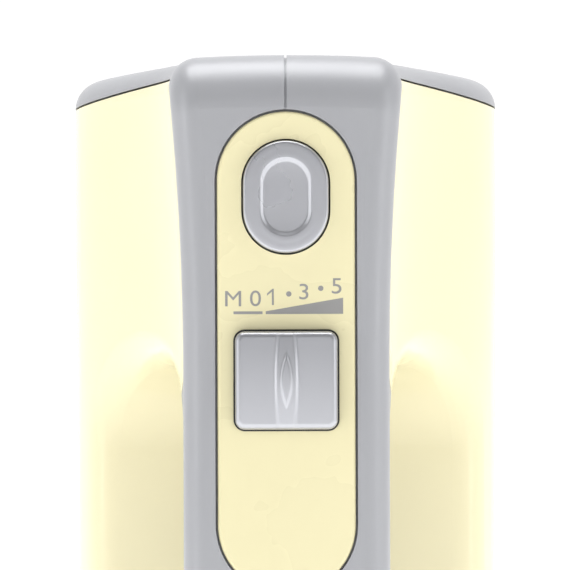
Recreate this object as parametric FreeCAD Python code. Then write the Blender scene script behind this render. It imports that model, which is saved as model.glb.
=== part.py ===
import FreeCAD, Part
import math
import os
from FreeCAD import Vector

# Electric hand mixer, standing on its heel with its nose up.
#   X across the mixer (its two halves part at X = 0)
#   Y from the grip's top face (negative) to the side the beaters leave by (positive)
#   Z from the heel (0) to the nose
# All sizes in millimetres.

# ---- Outer shape -----------------------------------------------------------------------
LENGTH = 200.0            # heel to nose
PAD_PROUD = 0.6           # the rubber heel pad stands this far out of the heel face
GRIP_Y = -74.0            # top face of the grip
BELLY_Y = 72.0            # face that the beaters leave by
BODY_WIDTH = 85.0
GRIP_WIDTH = 38.6
REAR_RADIUS = 54.0        # grip sweeping down into the heel
HEEL_RADIUS = 16.0        # heel to belly
NOSE_GRIP_RADIUS = 10.0   # nose to the grip's top face
NOSE_BELLY_RADIUS = 28.0  # nose to belly
NOSE_CROWN = 320.0        # the nose is rounded from side to side
FRONT_OVERLAP = 10.0      # the rounded front runs this far back into the body's plan
NECK_START_Y = -54.0      # the section widens from the grip ...
NECK_END_Y = 12.0         # ... to the full body width
WIDEST_Y = 30.0           # and narrows a little again below this
BELLY_TAPER = 5.0         # narrowing of each side at the belly
EDGE_RADIUS = 5.5
GRIP_FLARE = 3.2          # each side of the grip widens by this towards the nose ...
FLARE_LENGTH = 58.0       # ... over this length

# ---- Hand gap --------------------------------------------------------------------------
GRIP_THICKNESS = 32.0
GAP_FLOOR_Y = -8.0
GAP_REAR_Z = 32.0
GAP_TO_NOSE = 59.0
GAP_END_RADIUS = 16.0
GAP_EDGE_RADIUS = 7.0

# ---- Shells ----------------------------------------------------------------------------
COVER_THICKNESS = 2.2
COVER_SEAT = 0.1          # air between a side cover and the housing below it
WALL = 2.0                # housing wall below the side covers
JOINT_LINE = 0.4          # visible line round each side cover and the panel
SEAM_WIDTH = 0.45
SEAM_DEPTH = 0.5
NOSE_BAND = 2.8           # housing between the nose and the side covers, at the middle
COVER_CROWN = 175.0       # the covers' front edges lie on this radius
BELLY_BAND = 10.0         # housing that shows between belly and side cover
HEEL_BAND = 9.0
COVER_INNER_X = 14.0      # the covers end here inside the hand gap
COVER_NOSE_RADIUS = 22.0  # lower front corner of the side covers
COVER_TOP_Y = -51.0       # edge of the side covers beside the grip

# ---- Control panel ---------------------------------------------------------------------
PANEL_WIDTH = 25.7
PANEL_LENGTH = 89.8
PANEL_TO_NOSE = 10.9
PANEL_THICKNESS = 2.6
PANEL_LEDGE = 3.3         # housing ledge that the panel's rim rests on
PANEL_EDGE = 0.6

# ---- Eject button ----------------------------------------------------------------------
BUTTON_WIDTH = 15.9
BUTTON_LENGTH = 20.9
BUTTON_TO_NOSE = 26.8
BUTTON_GAP = 0.35
BUTTON_PROUD = 1.6
BUTTON_EDGE = 1.2
DISH_INSET = 3.3
DISH_DEPTH = 1.1
EJECT_TRAVEL = 5.0
FLANGE = 1.1              # flange that keeps the button and the switch in
SLIDE_GAP = 0.3
ROD_RADIUS = 3.0

# ---- Speed switch ----------------------------------------------------------------------
SWITCH_WIDTH = 19.0
SWITCH_LENGTH = 18.2
SWITCH_TO_NOSE = 60.9
SWITCH_CORNER = 1.8
SWITCH_HEIGHT = 3.1
SWITCH_CROWN = 60.0
CARRIER_RIM = 0.35
CARRIER_THICKNESS = 1.0
RIB_LENGTH = 17.0
RIB_WIDTH = 4.6
RIB_HEIGHT = 2.9
SWITCH_TO_PULSE = 2.8     # travel to the momentary position
SWITCH_TO_FULL = 5.7      # travel to the highest speed
STEM_WIDTH = 2.0
STEM_LENGTH = 8.0

# ---- Drive -----------------------------------------------------------------------------
MOTOR_Y = 32.0
SHAFT_RADIUS = 2.5
RUNNING_FIT = 0.06
SPINDLE_OFFSET = 20.0     # each spindle from the middle plane
WORM_TO_NOSE = 44.0
WORM_STARTS = 2
WHEEL_TEETH = 28
WHEEL_PITCH_RADIUS = 15.5
WHEEL_FACE = 8.0
ADDENDUM = 1.0
DEDENDUM = 1.3
WORM_LENGTH = 22.0
BACKLASH = 0.45           # each flank
BUSH_LENGTH = 8.0
BUSH_WALL = 3.0
STATOR_X = 26.0
STATOR_Y = 23.0
STATOR_LENGTH = 36.0
STATOR_CORNER = 8.0
BORE_RADIUS = 14.6
AIR_GAP = 0.6
COIL_RADIUS = 20.0
COIL_HEAD = 4.0
WINDOW_HALF_ANGLE = 38    # degrees of stator cut away each side of a coil's middle
POLE_HALF_ANGLE = 53      # degrees that the coils leave free each side of a pole's middle
SLOTS = 12
SLOT_RADIUS = 1.9         # round bottom of each rotor slot
SLOT_DEPTH = 3.4          # its middle below the rotor's face
COMMUTATOR_RADIUS = 10.0
COMMUTATOR_LENGTH = 10.0
FAN_RADIUS = 27.0
FAN_BLADES = 11
FAN_HEIGHT = 10.0
FAN_DISC = 1.6

# ---- Spindles and beaters --------------------------------------------------------------
SPINDLE_RADIUS = 6.0
SOCKET_RADIUS = 4.0
SOCKET_DEPTH = 32.0
PIN_RADIUS = 1.7
PIN_HOLE = 2.0
GEARBOX_TOP_Y = 12.0
GEARBOX_PLATE = 4.0
GEARBOX_DEPTH = 40.0
GEARBOX_HALF = 31.0       # half the width of the gearbox plates
MID_BLOCK_HALF = 14.0
FRONT_BLOCK_HALF = 11.0
SOCKET_RING_RADIUS = 10.0
SOCKET_RING_BORE = 7.6
BEATER_REACH = 150.0      # beater tip below the belly
BEATER_RADIUS = 22.0
BEATER_WIRE = 1.3
BEATER_CAGE = 66.0
BEATER_FIT = 0.08

# ---- Fasteners, cord inlet, vents --------------------------------------------------------
SCREW_RADIUS = 1.5
SCREW_HEAD_RADIUS = 2.9
SCREW_HEAD = 2.0
SCREW_LENGTH = 22.0
CROSS_WIDE = 2.0          # arms of the cross recess, from its middle
CROSS_THIN = 0.4          # half their width
BOSS_RADIUS = 4.0
INLET_ANGLE = 210.0       # where the cord inlet sits on the rear sweep, in degrees
INLET_BORE = 3.6
INLET_RADIUS = 6.0
INLET_LENGTH = 14.0
VENT_WIDTH = 2.4
VENT_PITCH = 6.0
VENT_LENGTH = 34.0
VENTS_REAR = 7
VENTS_FAN = 3
PAD_HALF_WIDTH = 27.0
PAD_DEPTH = 1.5

# ---- Worked out from the sizes above -----------------------------------------------------
FRONT_Z = LENGTH
GRIP_HALF = GRIP_WIDTH / 2
BODY_HALF = BODY_WIDTH / 2
GAP_TOP_Y = GRIP_Y + GRIP_THICKNESS
GAP_FRONT_Z = FRONT_Z - GAP_TO_NOSE
CROWN_Z = FRONT_Z - NOSE_CROWN
FLARE_Z = FRONT_Z - FLARE_LENGTH
COVER_CROWN_Z = FRONT_Z - NOSE_BAND - COVER_CROWN
JOIN_Z = (GAP_REAR_Z + GAP_FRONT_Z) / 2
CROWN_SWEEP = math.degrees(math.asin(BODY_HALF / (JOIN_Z - FRONT_OVERLAP - CROWN_Z))) + 3.0
COVER_FLOOR = COVER_THICKNESS + COVER_SEAT
SHELL = COVER_FLOOR + WALL
PANEL_CENTRE_Z = FRONT_Z - PANEL_TO_NOSE - PANEL_LENGTH / 2
PANEL_BACK_Y = GRIP_Y + PANEL_THICKNESS
BUTTON_Z = FRONT_Z - BUTTON_TO_NOSE
SWITCH_Z = FRONT_Z - SWITCH_TO_NOSE
WORM_Z = FRONT_Z - WORM_TO_NOSE
CARRIER_Y = GRIP_Y - SLIDE_GAP
FLANGE_Y = PANEL_BACK_Y + SLIDE_GAP
BOARD_Y = FLANGE_Y + FLANGE + 5.0
SPINDLE_XS = (-SPINDLE_OFFSET, SPINDLE_OFFSET)
WORM_PITCH_RADIUS = SPINDLE_OFFSET - WHEEL_PITCH_RADIUS
TOOTH_PITCH = 2 * math.pi * WHEEL_PITCH_RADIUS / WHEEL_TEETH
WORM_LEAD = WORM_STARTS * TOOTH_PITCH
MID_BUSH_Z = WORM_Z - 34.0
FRONT_BUSH_Z = WORM_Z + 22.0
STATOR_FRONT_Z = MID_BUSH_Z - 34.0
STATOR_REAR_Z = STATOR_FRONT_Z - STATOR_LENGTH
FAN_Z = STATOR_FRONT_Z + COIL_HEAD + 9.0
COMMUTATOR_Z = STATOR_REAR_Z - COIL_HEAD - 4.0 - COMMUTATOR_LENGTH
BRUSH_Z = COMMUTATOR_Z + COMMUTATOR_LENGTH / 2
REAR_BUSH_Z = COMMUTATOR_Z - 6.0 - BUSH_LENGTH
GEARBOX_END_Y = GEARBOX_TOP_Y + GEARBOX_DEPTH
SPINDLE_TOP_Y = GEARBOX_TOP_Y - 8.0
SPINDLE_END_Y = BELLY_Y + 0.5
EJECT_PLATE_Y = SPINDLE_TOP_Y - EJECT_TRAVEL - 3.0
PIN_END_Y = SPINDLE_END_Y - SOCKET_DEPTH - EJECT_TRAVEL / 2
BEATER_TOP_Y = PIN_END_Y + 0.2
BEATER_TIP_Y = BELLY_Y + BEATER_REACH
CAGE_TOP_Y = BEATER_TIP_Y - BEATER_CAGE


# How many sections shape the flare, and where the plan column starts and ends.
FLARE_STEPS = 5
COLUMN_LOW = -5.0
COLUMN_HIGH = FRONT_Z + 5.0


# ---- Small tools -------------------------------------------------------------------------
def box(x0, x1, y0, y1, z0, z1):
    return Part.makeBox(x1 - x0, y1 - y0, z1 - z0, Vector(x0, y0, z0))


def rod(radius, start, end):
    """Round bar from one point to another."""
    start, end = Vector(*start), Vector(*end)
    return Part.makeCylinder(radius, (end - start).Length, start, end - start)


def tube(inner, outer, start, end):
    return rod(outer, start, end).cut(rod(inner, start, end))


def along_z(radius, z0, z1, x=0.0, y=MOTOR_Y):
    return rod(radius, (x, y, z0), (x, y, z1))


def along_y(radius, y0, y1, x=0.0, z=WORM_Z):
    return rod(radius, (x, y0, z), (x, y1, z))


def join(shapes):
    first, rest = shapes[0], shapes[1:]
    return first.fuse(rest).removeSplitter() if rest else first


def stadium(width, length, y0, y1, z, x=0.0):
    """Prism along Y whose plan is a slot: straight sides and round ends."""
    half = (length - width) / 2
    middle = box(x - width / 2, x + width / 2, y0, y1, z - half, z + half)
    ends = [along_y(width / 2, y0, y1, x, z - half), along_y(width / 2, y0, y1, x, z + half)]
    return join([middle] + ends)


def rounded_plate(width, length, radius, y0, y1, z, x=0.0):
    plate = box(x - width / 2, x + width / 2, y0, y1, z - length / 2, z + length / 2)
    corners = [e for e in plate.Edges if abs(e.tangentAt(e.FirstParameter).y) > 0.9]
    return plate.makeFillet(radius, corners)


def mirrored(shape):
    return shape.mirror(Vector(0, 0, 0), Vector(1, 0, 0))


def edges_at_y(shape, y, within=0.01):
    boxes = [(e, e.BoundBox) for e in shape.Edges]
    return [e for e, b in boxes if abs(b.YMin - y) < within and abs(b.YMax - y) < within]


def line(y0, z0, y1, z1):
    return Part.LineSegment(Vector(0, y0, z0), Vector(0, y1, z1)).toShape()


def arc(y, z, radius, start, end):
    """Arc in the side view about (y, z), angles in degrees from +Y towards +Z."""
    points = []
    for angle in (start, (start + end) / 2, end):
        turn = math.radians(angle)
        points.append(Vector(0, y + radius * math.cos(turn), z + radius * math.sin(turn)))
    return Part.Arc(*points).toShape()


def across(edges, half_width):
    """Prism across the mixer from a closed outline in the side view."""
    face = Part.Face(Part.Wire(edges))
    face.translate(Vector(-half_width, 0, 0))
    return face.extrude(Vector(2 * half_width, 0, 0))


# ---- The outer form, and the same form some way inside it ----------------------------------
def rear_outline(inset):
    """Side view from the heel up to the middle of the hand gap."""
    y0, y1 = GRIP_Y + inset, BELLY_Y - inset
    sweep_y, heel_y = GRIP_Y + REAR_RADIUS, BELLY_Y - HEEL_RADIUS
    sweep_z, heel_z = PAD_PROUD + REAR_RADIUS, PAD_PROUD + HEEL_RADIUS
    return [
        line(y0, JOIN_Z, y0, sweep_z),
        arc(sweep_y, sweep_z, REAR_RADIUS - inset, 180, 270),
        line(sweep_y, PAD_PROUD + inset, heel_y, PAD_PROUD + inset),
        arc(heel_y, heel_z, HEEL_RADIUS - inset, 270, 360),
        line(y1, heel_z, y1, JOIN_Z),
        line(y1, JOIN_Z, y0, JOIN_Z),
    ]


def front_outline(inset):
    """Side view from the middle of the hand gap to the nose."""
    y0, y1 = GRIP_Y + inset, BELLY_Y - inset
    top_y, top_z = GRIP_Y + NOSE_GRIP_RADIUS, FRONT_Z - NOSE_GRIP_RADIUS
    low_y, low_z = BELLY_Y - NOSE_BELLY_RADIUS, FRONT_Z - NOSE_BELLY_RADIUS
    start_z = JOIN_Z - FRONT_OVERLAP
    return [
        line(y0, start_z, y0, top_z),
        arc(top_y, top_z, NOSE_GRIP_RADIUS - inset, 180, 90),
        line(top_y, FRONT_Z - inset, low_y, FRONT_Z - inset),
        arc(low_y, low_z, NOSE_BELLY_RADIUS - inset, 90, 0),
        line(y1, low_z, y1, start_z),
        line(y1, start_z, y0, start_z),
    ]


def half_width(y, z=0.0):
    """Half the body's width at (y, z): grip, neck, full width, slight taper."""
    grip = GRIP_HALF + GRIP_FLARE * max(0.0, (z - FLARE_Z) / FLARE_LENGTH) ** 2
    if y <= NECK_START_Y:
        return grip
    if y < NECK_END_Y:
        u = (y - NECK_START_Y) / (NECK_END_Y - NECK_START_Y)
        return grip + (BODY_HALF - grip) * u * u * (3 - 2 * u)
    if y <= WIDEST_Y:
        return BODY_HALF
    return BODY_HALF - BELLY_TAPER * ((y - WIDEST_Y) / (BELLY_Y - WIDEST_Y)) ** 2


def flank_slope(y, z):
    return (half_width(y + 0.01, z) - half_width(y - 0.01, z)) / 0.02


def flank_point(y, z, inset):
    """Point of the plan outline at (y, z), moved inwards square to the flank."""
    slope = flank_slope(y, z)
    unit = math.hypot(1, slope)
    return Vector(half_width(y, z) - inset / unit, y + inset * slope / unit, z)


def plan_outline(z, inset):
    """Closed outline that the mixer has at height z, seen from its nose."""
    neck = NECK_END_Y - NECK_START_Y
    ys = [NECK_START_Y + neck * k / 6 for k in range(6)] + [NECK_END_Y + 8.0, WIDEST_Y]
    ys += [WIDEST_Y + (BELLY_Y - WIDEST_Y) * k / 3 for k in (1, 2, 3, 4)]
    points = [flank_point(y, z, inset) for y in ys]
    curve = Part.BSplineCurve()
    last_slope = (points[-1] - points[-2]).normalize()
    curve.interpolate(Points=points, InitialTangent=Vector(0, 1, 0), FinalTangent=last_slope)
    flank = curve.toShape()
    start, end = points[0], points[-1]
    beyond = GRIP_Y - 10.0
    straight = Part.LineSegment(Vector(start.x, beyond, z), start).toShape()
    across_top = Part.LineSegment(Vector(-start.x, beyond, z), Vector(start.x, beyond, z)).toShape()
    across_end = Part.LineSegment(end, Vector(-end.x, end.y, z)).toShape()
    edges = [across_top, straight, flank, across_end, mirrored(flank), mirrored(straight)]
    return Part.Wire(Part.sortEdges(edges)[0])


def plan_solid(inset):
    """Column along Z with the plan outline: prismatic up to the flare, then widening."""
    column = Part.Face(plan_outline(FLARE_Z, inset)).extrude(Vector(0, 0, COLUMN_LOW - FLARE_Z))
    heights = [FLARE_Z + (COLUMN_HIGH - FLARE_Z) * k / FLARE_STEPS for k in range(FLARE_STEPS + 1)]
    flare = Part.makeLoft([plan_outline(z, inset) for z in heights], True, False)
    return column.fuse(flare)


def gap_prism(grow):
    """The hand gap, right through from side to side."""
    radius = GAP_END_RADIUS + grow
    y0, y1 = GAP_TOP_Y - grow, GAP_FLOOR_Y + grow
    z0, z1 = GAP_REAR_Z - grow, GAP_FRONT_Z + grow
    ya, yb, za, zb = y0 + radius, y1 - radius, z0 + radius, z1 - radius
    outline = [
        arc(ya, za, radius, 180, 270), line(ya, z0, yb, z0),
        arc(yb, za, radius, 270, 360), line(y1, za, y1, zb),
        arc(yb, zb, radius, 0, 90), line(yb, z1, ya, z1),
        arc(ya, zb, radius, 90, 180), line(y0, zb, y0, za),
    ]
    return across(outline, BODY_WIDTH)


def on_silhouette(edge, inset):
    """True for the edges where the side view meets the flanks."""
    for share in (0.2, 0.5, 0.8):
        p = edge.valueAt(edge.FirstParameter + (edge.LastParameter - edge.FirstParameter) * share)
        width = half_width(p.y, p.z)
        if abs(abs(p.x) - width + inset * math.hypot(1, flank_slope(p.y, p.z))) > 0.6 or abs(p.x) < 5:
            return False
    return True


def on_gap_rim(edge, grow):
    b = edge.BoundBox
    near = grow + 0.5
    inside_y = b.YMin > GAP_TOP_Y - near and b.YMax < GAP_FLOOR_Y + near
    inside_z = b.ZMin > GAP_REAR_Z - near and b.ZMax < GAP_FRONT_Z + near
    middle = edge.valueAt((edge.FirstParameter + edge.LastParameter) / 2)
    return inside_y and inside_z and b.XLength < BODY_HALF and abs(middle.x) > 5


def form(inset):
    """The whole mixer as one solid, moved inwards everywhere by inset."""
    rear = across(rear_outline(inset), BODY_WIDTH)
    front = Part.Face(Part.Wire(front_outline(inset)))
    axis = Vector(0, 0, CROWN_Z)
    front.rotate(axis, Vector(0, 1, 0), -CROWN_SWEEP)
    front = front.revolve(axis, Vector(0, 1, 0), 2 * CROWN_SWEEP)
    solid = rear.fuse(front).removeSplitter().common(plan_solid(inset))
    rim = [e for e in solid.Edges if on_silhouette(e, inset)]
    solid = solid.makeFillet(max(EDGE_RADIUS - inset, 0.4), rim)
    solid = solid.cut(gap_prism(inset))
    rim = [e for e in solid.Edges if on_gap_rim(e, inset)]
    return solid.makeFillet(max(GAP_EDGE_RADIUS - inset, 0.4), rim)


def cover_outline():
    """Side view of a side cover, with its corners rounded, as one flat face."""
    low_y = BELLY_Y - BELLY_BAND
    heel_z = PAD_PROUD + HEEL_BAND
    nose_z = COVER_CROWN_Z + math.sqrt(COVER_CROWN ** 2 - BODY_HALF ** 2)
    sweep = REAR_RADIUS - HEEL_BAND
    sweep_y, sweep_z = GRIP_Y + REAR_RADIUS, PAD_PROUD + REAR_RADIUS
    turn = math.radians(235.0)
    lean_y, lean_z = sweep_y + sweep * math.cos(turn), sweep_z + sweep * math.sin(turn)
    edges = [
        line(low_y, FRONT_Z + 10, COVER_TOP_Y, FRONT_Z + 10),
        line(COVER_TOP_Y, FRONT_Z + 10, COVER_TOP_Y, GAP_FRONT_Z),
        line(COVER_TOP_Y, GAP_FRONT_Z, GAP_TOP_Y + 6, GAP_FRONT_Z - 16),
        line(GAP_TOP_Y + 6, GAP_FRONT_Z - 16, GAP_TOP_Y + 6, GAP_REAR_Z + 14),
        line(GAP_TOP_Y + 6, GAP_REAR_Z + 14, lean_y, lean_z),
        arc(sweep_y, sweep_z, sweep, 235, 270),
        line(sweep_y, heel_z, low_y, heel_z),
        line(low_y, heel_z, low_y, FRONT_Z + 10),
    ]
    slab = Part.Face(Part.Wire(edges)).extrude(Vector(1, 0, 0))
    for corner_y, corner_z, radius in (
        (COVER_TOP_Y, GAP_FRONT_Z, 10.0), (lean_y, lean_z, 8.0), (low_y, heel_z, 10.0),
    ):
        at_corner = [e for e in slab.Edges if abs(e.BoundBox.YMin - corner_y) < 0.01
                     and abs(e.BoundBox.YMax - corner_y) < 0.01 and abs(e.BoundBox.ZMax - corner_z) < 0.01
                     and abs(e.BoundBox.ZMin - corner_z) < 0.01]
        slab = slab.makeFillet(radius, at_corner)
    round_y, round_z = low_y - COVER_NOSE_RADIUS, nose_z - COVER_NOSE_RADIUS
    waste = across([
        arc(round_y, round_z, COVER_NOSE_RADIUS, 0, 90),
        line(round_y, nose_z, round_y, FRONT_Z + 20),
        line(round_y, FRONT_Z + 20, low_y + 5, FRONT_Z + 20),
        line(low_y + 5, FRONT_Z + 20, low_y + 5, round_z),
        line(low_y + 5, round_z, low_y, round_z),
    ], 5)
    slab = slab.cut(waste)
    return [f for f in slab.Faces if f.BoundBox.XMax < 0.01][0]


def cover_region(grow):
    """Everything that the right side cover may take up, seen from the side."""
    face = cover_outline()
    if grow:
        face = face.makeOffset2D(grow)
    face.translate(Vector(COVER_INNER_X - grow, 0, 0))
    region = face.extrude(Vector(BODY_HALF + 10, 0, 0))
    nose = rod(COVER_CROWN + grow, (0, GRIP_Y - 20, COVER_CROWN_Z), (0, BELLY_Y + 20, COVER_CROWN_Z))
    return region.common(nose)


# ---- Fastening points shared by the two halves ---------------------------------------------
SCREW_POINTS = [
    (GAP_TOP_Y - GRIP_THICKNESS / 2, GAP_REAR_Z + 28.0),
    (GAP_TOP_Y - 10.0, GAP_FRONT_Z + 12.0),
    (BELLY_Y - 13.0, FRONT_Z - 16.5),
    (BELLY_Y - 14.0, PAD_PROUD + 15.0),
    (GAP_TOP_Y + 26.0, PAD_PROUD + 15.0),
]


def screw_top_x(y, z):
    """Screw heads sit in the left half, below the cover or flush in the grip."""
    width = half_width(y)
    return -(width - COVER_FLOOR - SCREW_HEAD - 3.0) if y > NECK_START_Y else -(GRIP_HALF - SCREW_HEAD - 1.0)


def screw_bosses():
    return [rod(BOSS_RADIUS, (-BODY_HALF, y, z), (BODY_HALF, y, z)) for y, z in SCREW_POINTS]


def screw_cuts():
    cuts = []
    for y, z in SCREW_POINTS:
        head_x = screw_top_x(y, z)
        cuts.append(rod(SCREW_HEAD_RADIUS + 0.3, (-BODY_HALF - 5, y, z), (head_x, y, z)))
        cuts.append(rod(SCREW_RADIUS, (head_x, y, z), (head_x + SCREW_LENGTH, y, z)))
    return cuts


def housing_screws():
    screws = []
    for y, z in SCREW_POINTS:
        head_x = screw_top_x(y, z)
        head = rod(SCREW_HEAD_RADIUS, (head_x - SCREW_HEAD, y, z), (head_x, y, z))
        top_x, recess_x = head_x - SCREW_HEAD, head_x - SCREW_HEAD / 2
        slot = box(top_x, recess_x, y - CROSS_THIN, y + CROSS_THIN, z - CROSS_WIDE, z + CROSS_WIDE)
        cross = box(top_x, recess_x, y - CROSS_WIDE, y + CROSS_WIDE, z - CROSS_THIN, z + CROSS_THIN)
        shank = rod(SCREW_RADIUS, (head_x, y, z), (head_x + SCREW_LENGTH, y, z))
        screws.append(head.fuse(shank).cut(slot).cut(cross))
    return Part.makeCompound(screws)


# ---- Cord inlet ----------------------------------------------------------------------------
def inlet_point(distance):
    """Point on the inlet's axis, measured outwards from the outer surface."""
    turn = math.radians(INLET_ANGLE)
    reach = REAR_RADIUS + distance
    y = GRIP_Y + REAR_RADIUS + reach * math.cos(turn)
    return (0, y, PAD_PROUD + REAR_RADIUS + reach * math.sin(turn))


def cord_inlet():
    body = rod(INLET_RADIUS, inlet_point(-INLET_LENGTH + 2.0), inlet_point(2.0))
    lip = rod(INLET_RADIUS + 1.6, inlet_point(0.3), inlet_point(2.0))
    keeper = rod(INLET_RADIUS + 1.6, inlet_point(-SHELL - 3.0), inlet_point(-SHELL - 0.6))
    bore = rod(INLET_BORE, inlet_point(-INLET_LENGTH), inlet_point(5.0))
    return join([body, lip, keeper]).cut(bore)


# ---- Housing, covers, panel ----------------------------------------------------------------
def stator_block(grow, z0, z1):
    half_x, half_y = STATOR_X + grow, STATOR_Y + grow
    block = box(-half_x, half_x, MOTOR_Y - half_y, MOTOR_Y + half_y, z0, z1)
    corners = [e for e in block.Edges if abs(e.tangentAt(e.FirstParameter).z) > 0.9]
    return block.makeFillet(STATOR_CORNER, corners)


def gearbox_room(z0, z1, half):
    """Room in a collar for the gearbox: its two plates, the block between them, screw heads."""
    gap = 0.2
    plate = GEARBOX_HALF + gap
    top, end = GEARBOX_TOP_Y, GEARBOX_END_Y
    return [
        box(-half - gap, half + gap, top - gap, end + SCREW_HEAD + 0.5, z0, z1),
        box(-plate, plate, top - gap, top + GEARBOX_PLATE + gap, z0, z1),
        box(-plate, plate, end - GEARBOX_PLATE - gap, end + gap, z0, z1),
    ]


def inner_ribs():
    """Collars that hold the motor and the gearbox, and the guide for the ejector rod."""
    wide = BODY_WIDTH
    ribs = []
    for z in (STATOR_REAR_Z + 4.0, STATOR_FRONT_Z - 6.0):
        collar = box(-wide, wide, GAP_FLOOR_Y, BELLY_Y, z, z + 2.0)
        air = [box(x - 4, x + 4, MOTOR_Y - 12, MOTOR_Y + 12, z, z + 2.0) for x in (-32.0, 32.0)]
        ribs.append(collar.cut(stator_block(0.2, z - 1, z + 3)).cut(air))
    for z, half in ((MID_BUSH_Z + 3.0, MID_BLOCK_HALF), (FRONT_BUSH_Z + 3.0, FRONT_BLOCK_HALF)):
        collar = box(-wide, wide, GAP_FLOOR_Y + 9.0, BELLY_Y, z, z + 2.0)
        ribs.append(collar.cut(gearbox_room(z - 1, z + 3, half)))
    guide = box(-wide, wide, GAP_TOP_Y + 4, GAP_TOP_Y + 7, BUTTON_Z - 14, FRONT_Z)
    ribs.append(guide.cut(along_y(ROD_RADIUS + SLIDE_GAP, GAP_TOP_Y, GAP_TOP_Y + 10, 0, BUTTON_Z)))
    return ribs


def vents():
    slots = []
    for first, count in ((COMMUTATOR_Z - 8.0, VENTS_REAR), (FAN_Z, VENTS_FAN)):
        for k in range(count):
            z = first + k * VENT_PITCH
            slots.append(box(-VENT_LENGTH / 2, VENT_LENGTH / 2, BELLY_Y - SHELL - 1, BELLY_Y + 1,
                             z, z + VENT_WIDTH))
    return slots


def pad_outline(grow, z0, z1):
    y0, y1 = GRIP_Y + REAR_RADIUS + 6.0, BELLY_Y - HEEL_RADIUS - 6.0
    pad = box(-PAD_HALF_WIDTH - grow, PAD_HALF_WIDTH + grow, y0 - grow, y1 + grow, z0, z1)
    corners = [e for e in pad.Edges if abs(e.tangentAt(e.FirstParameter).z) > 0.9]
    return pad.makeFillet(8.0 + grow, corners)


def housing(outer, floor, cavity, rib_limit, groove_floor):
    """The grey housing as one piece, before it is parted at the middle plane."""
    pocket = cover_region(JOINT_LINE).cut(floor)
    shell = outer.cut([pocket, mirrored(pocket), cavity])
    inside = Part.makeCompound(inner_ribs() + screw_bosses()).common(rib_limit)
    clear = [
        along_z(FAN_RADIUS + 1.0, FAN_Z - 1.0, FAN_Z + FAN_HEIGHT + 1.0),
        stator_block(0.2, STATOR_REAR_Z, STATOR_FRONT_Z),
    ]
    shell = shell.fuse([s.cut(clear) for s in inside.Solids])
    seat = stadium(PANEL_WIDTH + 2 * JOINT_LINE, PANEL_LENGTH + 2 * JOINT_LINE,
                   GRIP_Y - 1, PANEL_BACK_Y + 0.1, PANEL_CENTRE_Z)
    well = stadium(PANEL_WIDTH - 2 * PANEL_LEDGE, PANEL_LENGTH - 2 * PANEL_LEDGE,
                   GRIP_Y, GRIP_Y + SHELL + 1, PANEL_CENTRE_Z)
    sockets = [along_y(SOCKET_RING_RADIUS, BELLY_Y - 8, BELLY_Y + 1, x) for x in SPINDLE_XS]
    inlet = rod(INLET_RADIUS, inlet_point(-SHELL - 2), inlet_point(3))
    pad = pad_outline(0.1, PAD_PROUD - 1, PAD_PROUD + PAD_DEPTH)
    middle = box(-SEAM_WIDTH / 2, SEAM_WIDTH / 2, GRIP_Y - 5, BELLY_Y + 5, -1, FRONT_Z + 1)
    groove = outer.common(middle)
    groove = groove.cut(groove_floor)
    return shell.cut([seat, well, inlet, pad, groove] + sockets + vents() + screw_cuts())


def control_panel():
    panel = stadium(PANEL_WIDTH, PANEL_LENGTH, GRIP_Y, PANEL_BACK_Y, PANEL_CENTRE_Z)
    panel = panel.makeFillet(PANEL_EDGE, edges_at_y(panel, GRIP_Y))
    hole = stadium(BUTTON_WIDTH + 2 * BUTTON_GAP, BUTTON_LENGTH + 2 * BUTTON_GAP,
                   GRIP_Y - 1, PANEL_BACK_Y + 1, BUTTON_Z)
    left = -SWITCH_TO_PULSE - STEM_WIDTH / 2 - SLIDE_GAP
    right = SWITCH_TO_FULL + STEM_WIDTH / 2 + SLIDE_GAP
    half = STEM_LENGTH / 2 + SLIDE_GAP
    slot = box(left, right, GRIP_Y - 1, PANEL_BACK_Y + 1, SWITCH_Z - half, SWITCH_Z + half)
    reach = PANEL_WIDTH / 2 - PANEL_LEDGE
    hooks = []
    for z in (SWITCH_Z - 22.0, SWITCH_Z + 14.0):
        for side in (-1, 1):
            x0, x1 = sorted((side * (reach - 1.6), side * (reach - 0.2)))
            leg = box(x0, x1, PANEL_BACK_Y, GRIP_Y + SHELL + 1.4, z - 3, z + 3)
            x0, x1 = sorted((side * (reach - 1.6), side * (reach + 0.8)))
            barb = box(x0, x1, GRIP_Y + SHELL + 0.1, GRIP_Y + SHELL + 1.4, z - 3, z + 3)
            hooks += [leg, barb]
    return join([panel.cut([hole, slot])] + hooks)


# ---- Eject button, rod, plate, spring --------------------------------------------------------
def eject_button():
    top = GRIP_Y - BUTTON_PROUD
    body = stadium(BUTTON_WIDTH, BUTTON_LENGTH, top, FLANGE_Y + FLANGE, BUTTON_Z)
    body = body.makeFillet(BUTTON_EDGE, edges_at_y(body, top))
    flange = stadium(BUTTON_WIDTH + 2.2, BUTTON_LENGTH + 2.2, FLANGE_Y, FLANGE_Y + FLANGE, BUTTON_Z)
    boss = along_y(ROD_RADIUS + 2, top + 2, FLANGE_Y + FLANGE + 3, 0, BUTTON_Z)
    hollow = stadium(BUTTON_WIDTH - 3, BUTTON_LENGTH - 3, top + 3, FLANGE_Y + FLANGE + 1, BUTTON_Z)
    dish = stadium(BUTTON_WIDTH - 2 * DISH_INSET, BUTTON_LENGTH - 2 * DISH_INSET,
                   top - 1, top + DISH_DEPTH, BUTTON_Z)
    dish = dish.makeFillet(DISH_DEPTH * 0.8, edges_at_y(dish, top + DISH_DEPTH))
    seat = along_y(ROD_RADIUS, FLANGE_Y, FLANGE_Y + FLANGE + 4, 0, BUTTON_Z)
    return join([body, flange]).cut(hollow).fuse(boss).cut([dish, seat]).removeSplitter()


def ejector_rod():
    return along_y(ROD_RADIUS, FLANGE_Y, EJECT_PLATE_Y + 3.0, 0, BUTTON_Z)


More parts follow.
